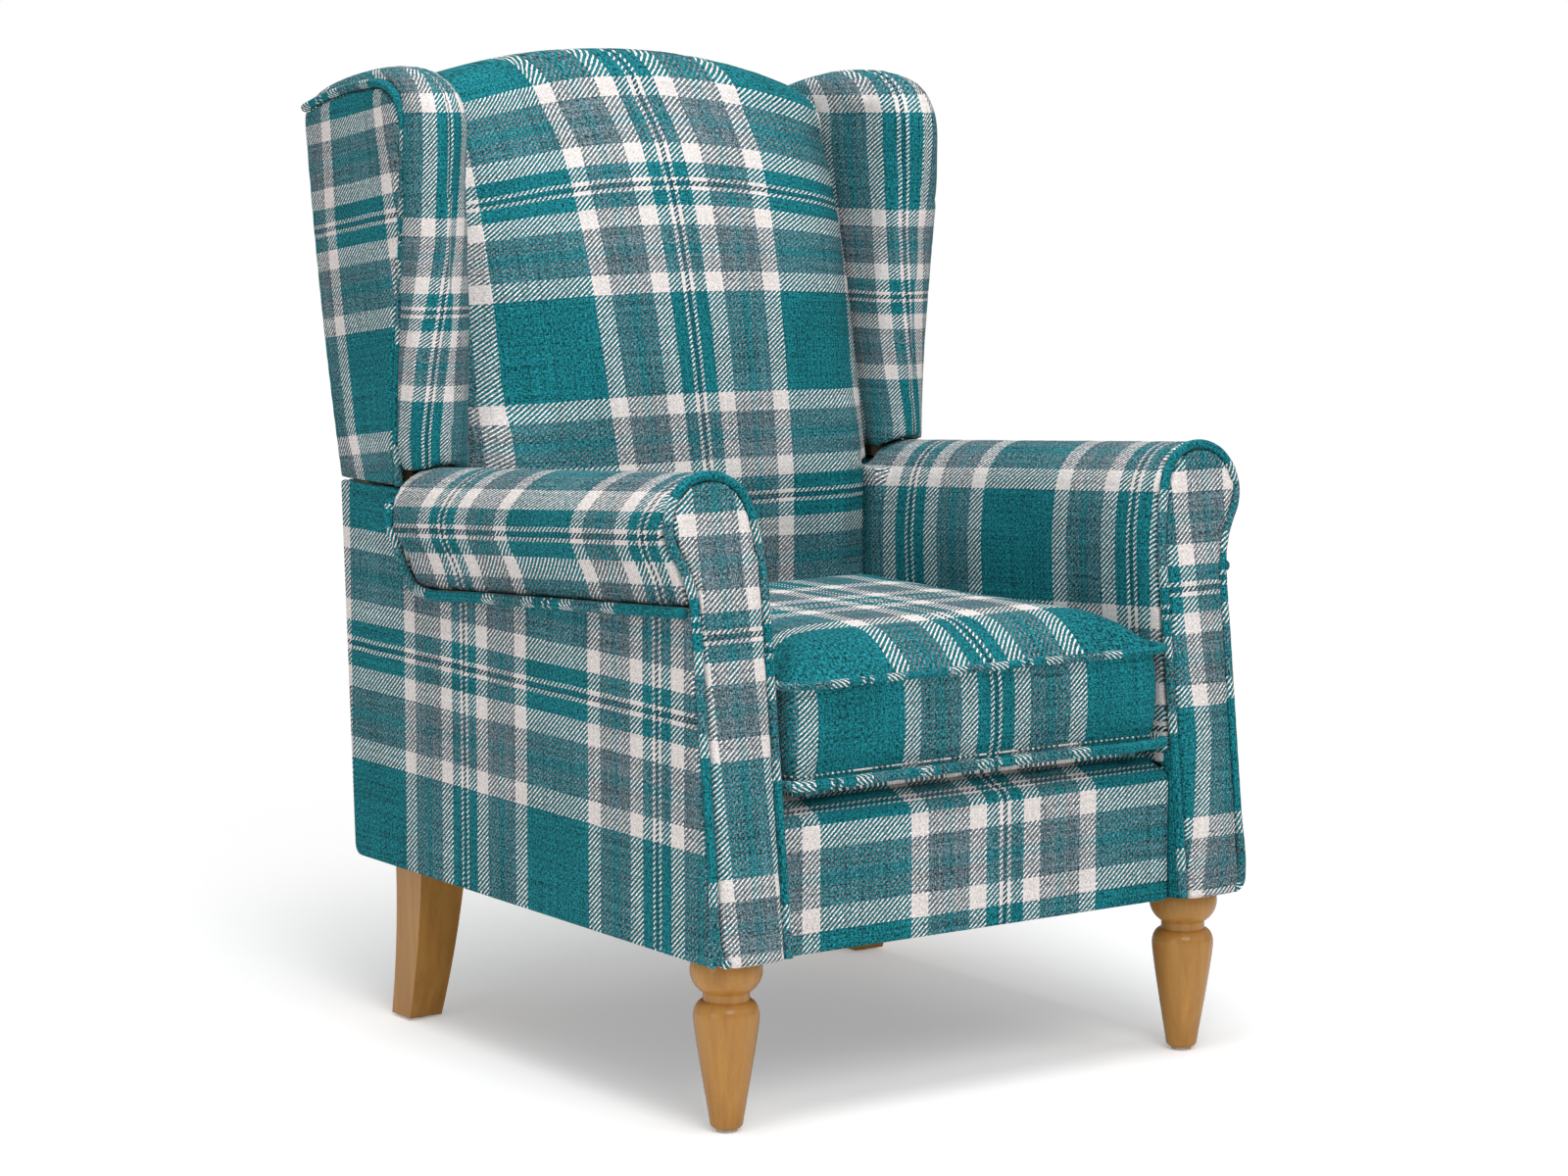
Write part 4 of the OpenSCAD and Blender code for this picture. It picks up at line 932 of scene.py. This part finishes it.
def makeSeatCushion():
    obj = softCopy("seatCushion", "seat_cushion", seatPad["voxel"], seatPad["soften"])
    shrunk(obj, seatPad["slack"])
    swell(obj, seatPad["cap"], seatPad["pressure"])
    mod = obj.modifiers.new("subdivide", "SUBSURF")
    mod.levels = mod.render_levels = 1
    settle(obj)
    # the underside drops quickly behind its piping, then lies flat on the deck
    co = points(obj.data)
    share = np.maximum(np.abs(co[:, 0]) / cushion["halfWide"],
                       np.abs(co[:, 1] - cushion["middleY"]) / cushion["halfDeep"])
    low = cushion["underZ"] + cushion["underRise"] * share**cushion["underPower"]
    co[:, 2] = np.where(co[:, 2] < cushion["wallLow"] - cushion["underBelow"],
                        np.clip(low, cushion["underZ"], co[:, 2]), co[:, 2])
    setPoints(obj.data, co)
    layCloth(obj, layCushion)
    dressed(obj, "cushion", cloth, "check_cloth", "seat_cushion")


def cushionLine(inset, z):
    # rounded rectangle whose sides pull in between the corners, from the middle of the front
    a, b = cushion["halfWide"] - inset, cushion["halfDeep"] - inset
    r = cushion["cornerR"] - inset / 2
    wide, deep = (a - r) * 2, (b - r) * 2
    line = []
    for sx, sy, alongX, alongY in ((1, -1, 0, deep), (1, 1, -wide, 0),
                                   (-1, 1, 0, -deep), (-1, -1, wide, 0)):
        corner = [(a - r + r * math.cos(t), b - r + r * math.sin(t))
                  for t in np.linspace(0, math.pi / 2, 6)]
        line += [(sx * x, sy * y) for x, y in (corner if sx * sy > 0 else corner[::-1])]
        endX, endY = line[-1]
        line += [(endX + alongX * t, endY + alongY * t) for t in (0.2, 0.4, 0.6, 0.8)]
    line = [(0, -b), (wide / 4, -b)] + line[:-2] + [(-wide / 4, -b)]
    made = []
    for x, y in line:
        u, v = x / a, y / b
        made.append((x - np.sign(x) * cushion["pull"] * (1 - v * v) * abs(u)**4,
                     y - np.sign(y) * cushion["pull"] * (1 - u * u) * abs(v)**4
                     + cushion["middleY"], z))
    return made


cushionPiping = {
    "inset": 0.004, "spread": 0.95, "rows": (  # name, node, height, radius, start of the cloth
        ("cushionPipingTop", "cushion_piping_top", 0.4383, 0.0042, 0.050),
        ("cushionPipingBottom", "cushion_piping_bottom", 0.3403, 0.0054, 0.010)),
}


def makeCushionPiping():
    inset, spread = cushionPiping["inset"], cushionPiping["spread"]
    for name, node, z, r, offset in cushionPiping["rows"]:
        obj = pipe(name, cushionLine(inset, z), r, True, offset, spread)
        dressed(obj, "cushion", cloth, "check_piping", node)


def makeCushionSeam():
    # the pale thread of the seam above the lower piping, laid on the cushion's wall
    wall = bpy.data.objects["seatCushion"].data
    tree = BVHTree.FromPolygons([tuple(v) for v in points(wall)],
                                [tuple(p.vertices) for p in wall.polygons])
    power, line = cushion["seamPower"], []
    for x, y, z in smoothPath(cushionLine(0, cushion["seamZ"]), cushion["seamSpacing"], True):
        u, v = x / cushion["halfWide"], (y - cushion["middleY"]) / cushion["halfDeep"]
        out = Vector((np.sign(x) * abs(u)**power, np.sign(v) * abs(v)**power, 0)).normalized()
        at, reach = Vector((x, y, z)), cushion["seamReach"]
        hit = tree.ray_cast(at + out * reach, -out, 2 * reach)[0]
        line.append(tuple((hit or at) + out * cushion["seamLift"]))
    obj = pipe("cushionSeam", line, cushion["seamR"], True, 0, 1, cushion["seamSides"],
               cushion["seamSpacing"])
    layer = obj.data.uv_layers["cloth"].uv
    laid = each(layer, "vector", 2)
    laid[:, 1] = check["pairAt"]
    layer.foreach_set("vector", laid.ravel())
    dressed(obj, "cushion", cloth, "check_piping")


# the padded back, arms and wings

backPad = {"voxel": 0.006, "soften": 3, "slack": 0.002, "cap": 0.004, "pressure": 3, "fill": 0.8}
armPad = {"voxel": 0.0055, "soften": 3, "slack": 0.001, "cap": 0.002, "pressure": 3, "fill": 0.85}
wingPad = {"voxel": 0.005, "soften": 3, "slack": 0.001, "cap": 0.003, "pressure": 3, "fill": 0.8}
facing = {"voxel": 0.004, "soften": 4, "fill": 0.9,
          "bulge": 0.003, "bulgeHalf": 0.034, "bulgeDepth": 0.004, "bulgeTop": (0.50, 0.08)}
wingPanel = {"voxel": 0.005, "soften": 2, "fill": 0.9}


def makeBackPad():
    obj = softCopy("backPad", "back_pad", backPad["voxel"], backPad["soften"])
    shrunk(obj, backPad["slack"])
    swell(obj, backPad["cap"], backPad["pressure"])
    layCloth(obj, layBack)
    dressed(obj, "chair", cloth, "check_cloth", "back_pad")


def mirrored(obj, name):
    # the other side's piece
    mesh = obj.data.copy()
    made = bpy.data.objects.new(name, mesh)
    scene.collection.objects.link(made)
    co = points(mesh)
    co[:, 0] *= -1
    setPoints(mesh, co)
    mesh.flip_normals()
    return made


def makePair(base, node, use, lay, shape=None):
    # the left piece is made, and the right one is its mirror
    left = softCopy(base + "Left", node + "_left", use["voxel"], use["soften"])
    if "slack" in use:
        shrunk(left, use["slack"])
        swell(left, use["cap"], use["pressure"])
    if shape:
        shape(left)
    right = mirrored(left, base + "Right")
    for obj, side in ((left, "left"), (right, "right")):
        layCloth(obj, lay(side))
        dressed(obj, "chair", cloth, "check_cloth", f"{node}_{side}")


def bulge(obj):
    # the arm fronts swell between their pipings
    co = points(obj.data)
    lean = (co[:, 2] - chair["floorToBody"]) * math.tan(chair["facingLean"])
    front = co[:, 1] < chair["frontY"] + facing["bulgeDepth"] + lean
    off = (np.abs(co[:, 0]) - chair["facingX"]) / facing["bulgeHalf"]
    top, fade = facing["bulgeTop"]
    low = 1 - ease((co[:, 2] - top) / fade)
    co[:, 1] -= facing["bulge"] * np.clip(1 - off**2, 0, 1) * low * front
    setPoints(obj.data, co)


# the two edges where the back stands on the base, and how far each is drawn to the other
joint = {"lowZ": 0.5885, "highZ": 0.5915, "draw": 0.0009, "reach": 0.006}


def closer(obj, level, step):
    # moves the edge at this level up or down by the step
    co = points(obj.data)
    co[:, 2] += np.where(np.abs(co[:, 2] - level) < joint["reach"], step, 0)
    setPoints(obj.data, co)


def closeWingFoot(obj):
    closer(obj, joint["highZ"], -joint["draw"])


# stretched panels

corner = {"width": 0.012, "segments": 5, "behindY": 0.28, "besideX": 0.3, "belowZ": 0.2,
          "straight": 0.9, "sharp": 0.5}
panels = {
    "outsideArmLeft": {"node": "outside_arm_left", "lay": layBaseSide, "edge": 0.004,
                       "cornerAxis": 0, "draw": (joint["lowZ"], joint["draw"])},
    "outsideArmRight": {"node": "outside_arm_right", "lay": layBaseSide, "edge": 0.004,
                        "cornerAxis": 0, "draw": (joint["lowZ"], joint["draw"])},
    "baseRearPanel": {"node": "base_rear_panel", "lay": layRear, "edge": 0.0025,
                      "cornerAxis": 1, "draw": (joint["lowZ"], joint["draw"])},
    "outsideBack": {"node": "outside_back", "lay": layRear, "edge": 0.0025},
    "frontBorder": {"node": "front_border", "lay": layBorder, "edge": 0.004,
                    "draw": (0.1775, -0.003)},
}


def roundCorners(obj, axis):
    # rounds the edges that run along an axis at the body's rear bottom corners
    bm = bmesh.new()
    bm.from_mesh(obj.data)
    edges = []
    for e in bm.edges:
        a, b = (v.co for v in e.verts)
        m = (a + b) / 2
        placed = (m.y > corner["behindY"] and abs(m.x) > corner["besideX"]
                  and m.z < corner["belowZ"])
        along = abs((a - b).normalized()[axis]) > corner["straight"]
        if along and placed and e.calc_face_angle(0) > corner["sharp"]:
            edges.append(e)
    bmesh.ops.bevel(bm, geom=edges, offset=corner["width"], segments=corner["segments"],
                    profile=0.5, affect="EDGES", clamp_overlap=True)
    bm.to_mesh(obj.data)
    bm.free()


def makePanels():
    for name, use in panels.items():
        obj = cleanCopy(name, use["node"])
        if "cornerAxis" in use:
            roundCorners(obj, use["cornerAxis"])
        bevelled(obj, use["edge"])
        if "draw" in use:
            closer(obj, *use["draw"])
        layCloth(obj, use["lay"])
        dressed(obj, "chair", cloth, "check_cloth", use["node"])


# cloth turned back from the arm fronts to the border on the inner side,
# and cloth that closes the rear end of each arm roll under the wing

closings = {
    "facingReturn": {
        "x": (chair["seatHalf"] + 0.0004, chair["seatHalf"] + 0.0055), "edge": 0.0015,
        "profile": [leanPoint(0, depth, rise)[1:] for depth, rise in
                    ((0.008, 0.002), (0.040, 0.002), (0.040, 0.158), (0.008, 0.158))],
    },
    "rollEnd": {
        "x": (0.285, 0.3285), "edge": 0.005,
        "profile": [(0.166, 0.520), (0.214, 0.516), (0.214, 0.5895), (0.166, 0.5895)],
    },
}
closingRise = 0.7
boxFaces = [(0, 1, 2, 3), (7, 6, 5, 4), (0, 4, 5, 1), (1, 5, 6, 2), (2, 6, 7, 3), (3, 7, 4, 0)]


def layClosing(co, normal, centre):
    half, y, z = stripe["halfRepeat"], co[:, 1], co[:, 2]
    return half + y - y.mean(), half + closingRise * (z - z.mean())


def makeClosings():
    for side, sign in (("Left", -1), ("Right", 1)):
        for name, use in closings.items():
            verts = [(sign * x, y, z) for x in use["x"] for y, z in use["profile"]]
            obj = meshObject(name + side, verts, boxFaces)
            outwards(obj)
            bevelled(obj, use["edge"], 3)
            layCloth(obj, layClosing)
            dressed(obj, "chair", cloth, "check_cloth")


# the pipings of the arm fronts, arms and wings

piping = {  # node, start of the cloth, its spread, extra radius
    "facingPiping": ("facing_piping", 0.30, 1.0, 0.0),
    "armPiping": ("arm_piping", 0.245, 1.0, 0.0007),
    "wingPiping": ("wing_piping", 0.268, 0.9, 0.0),
    "gap": 0.0003, "wingGap": 0.0006, "facingFoot": 0.002,
    "armEnd": 0.539, "armLow": -0.082, "armStartLow": -0.078, "armBend": 0.045,
    "rimInset": 0.002, "rimFrom": math.radians(-32.1), "rimTo": math.radians(20),
}


def armPipingPath(r):
    # along under the scroll, then up round its rear end
    end = piping["armEnd"] + r
    rimR, touch = chair["rollR"] - piping["rimInset"], piping["rimFrom"]
    xLow, zLow = chair["bodyHalf"] + r + piping["gap"], piping["armLow"]
    lean = math.tan(chair["facingLean"] - chair["armFall"])
    start = 2 * r + piping["armStartLow"] * lean + piping["gap"]
    bendAt = end - piping["armBend"]
    low = [(xLow, start + (bendAt - start) * t, zLow) for t in np.linspace(0, 1, 7)]
    foot = (chair["rollX"] + rimR * math.cos(touch), end, rimR * math.sin(touch))
    bend = bezierLine([(xLow, bendAt, zLow), (xLow, end - r, zLow),
                       (foot[0] - r, end, (zLow + foot[2]) / 2), foot], 6)[1:]
    rim = [(chair["rollX"] + rimR * math.cos(t), end, rimR * math.sin(t))
           for t in np.linspace(touch, piping["rimTo"], 6)[1:]]
    return [armPoint(*q) for q in [*low, *bend, *rim]]


def makePipings():
    r = chair["pipingR"]
    paths = {
        "facingPiping": [leanPoint(x, r, max(z, piping["facingFoot"])) for x, z in facingEdge(r)],
        "armPiping": armPipingPath(r),
        "wingPiping": [(wing["skinX"] + r + float(splay(y, z)), y, z)
                       for y, z in wingSeam(r + piping["wingGap"])],
    }
    for side, sign in (("left", -1), ("right", 1)):
        for base, path in paths.items():
            node, offset, spread, thicker = piping[base]
            obj = pipe(base + side.title(), [(sign * x, y, z) for x, y, z in path], r + thicker,
                       False, offset, spread)
            dressed(obj, "chair", cloth, "check_piping", f"{node}_{side}")


lining = {"deckEdge": 0.003, "dustEdge": 0.0005}


def makeLinings():
    obj = bevelled(cleanCopy("deckCloth", "deck_pad"), lining["deckEdge"])
    dressed(obj, "chair", liningCloth, "lining", "deck_pad")
    obj = bevelled(cleanCopy("dustCover", "dust_cover"), lining["dustEdge"], 1)
    dressed(obj, "chair", liningCloth, "lining", "dust_cover")


makeSeatCushion()
makeCushionPiping()
makeCushionSeam()
print("cushion made")
makeBackPad()
print("back made")
makePair("armPad", "arm_pad", armPad, layArm)
makePair("armFacing", "arm_facing", facing, layFacing, bulge)
print("arms made")
makePair("wingPad", "wing_pad", wingPad, layWingPad)
makePair("wingOuter", "wing_outer", wingPanel, layWingOuter, closeWingFoot)
print("wings made")
makePanels()
makeClosings()
makePipings()
makeLinings()
print("panels, pipings and linings made")


# finishes of the pieces kept as they are

finishes = {"front_leg": legWood, "rear_leg": legWood, "leg_glides": glidePlastic,
            "hanger_bolts": steel, "leg_tee_nuts": steel, "back_hook": steel,
            "back_tongue": steel, "bracket_screws": steel,
            "seat_webbing": webbingCloth, "back_webbing": webbingCloth}
for name, obj in nodes.items():
    if obj.hide_render:
        continue
    finish = next((m for start, m in finishes.items() if name.startswith(start)), frameWood)
    obj.data.materials.clear()
    obj.data.materials.append(finish)
print("finishes given")
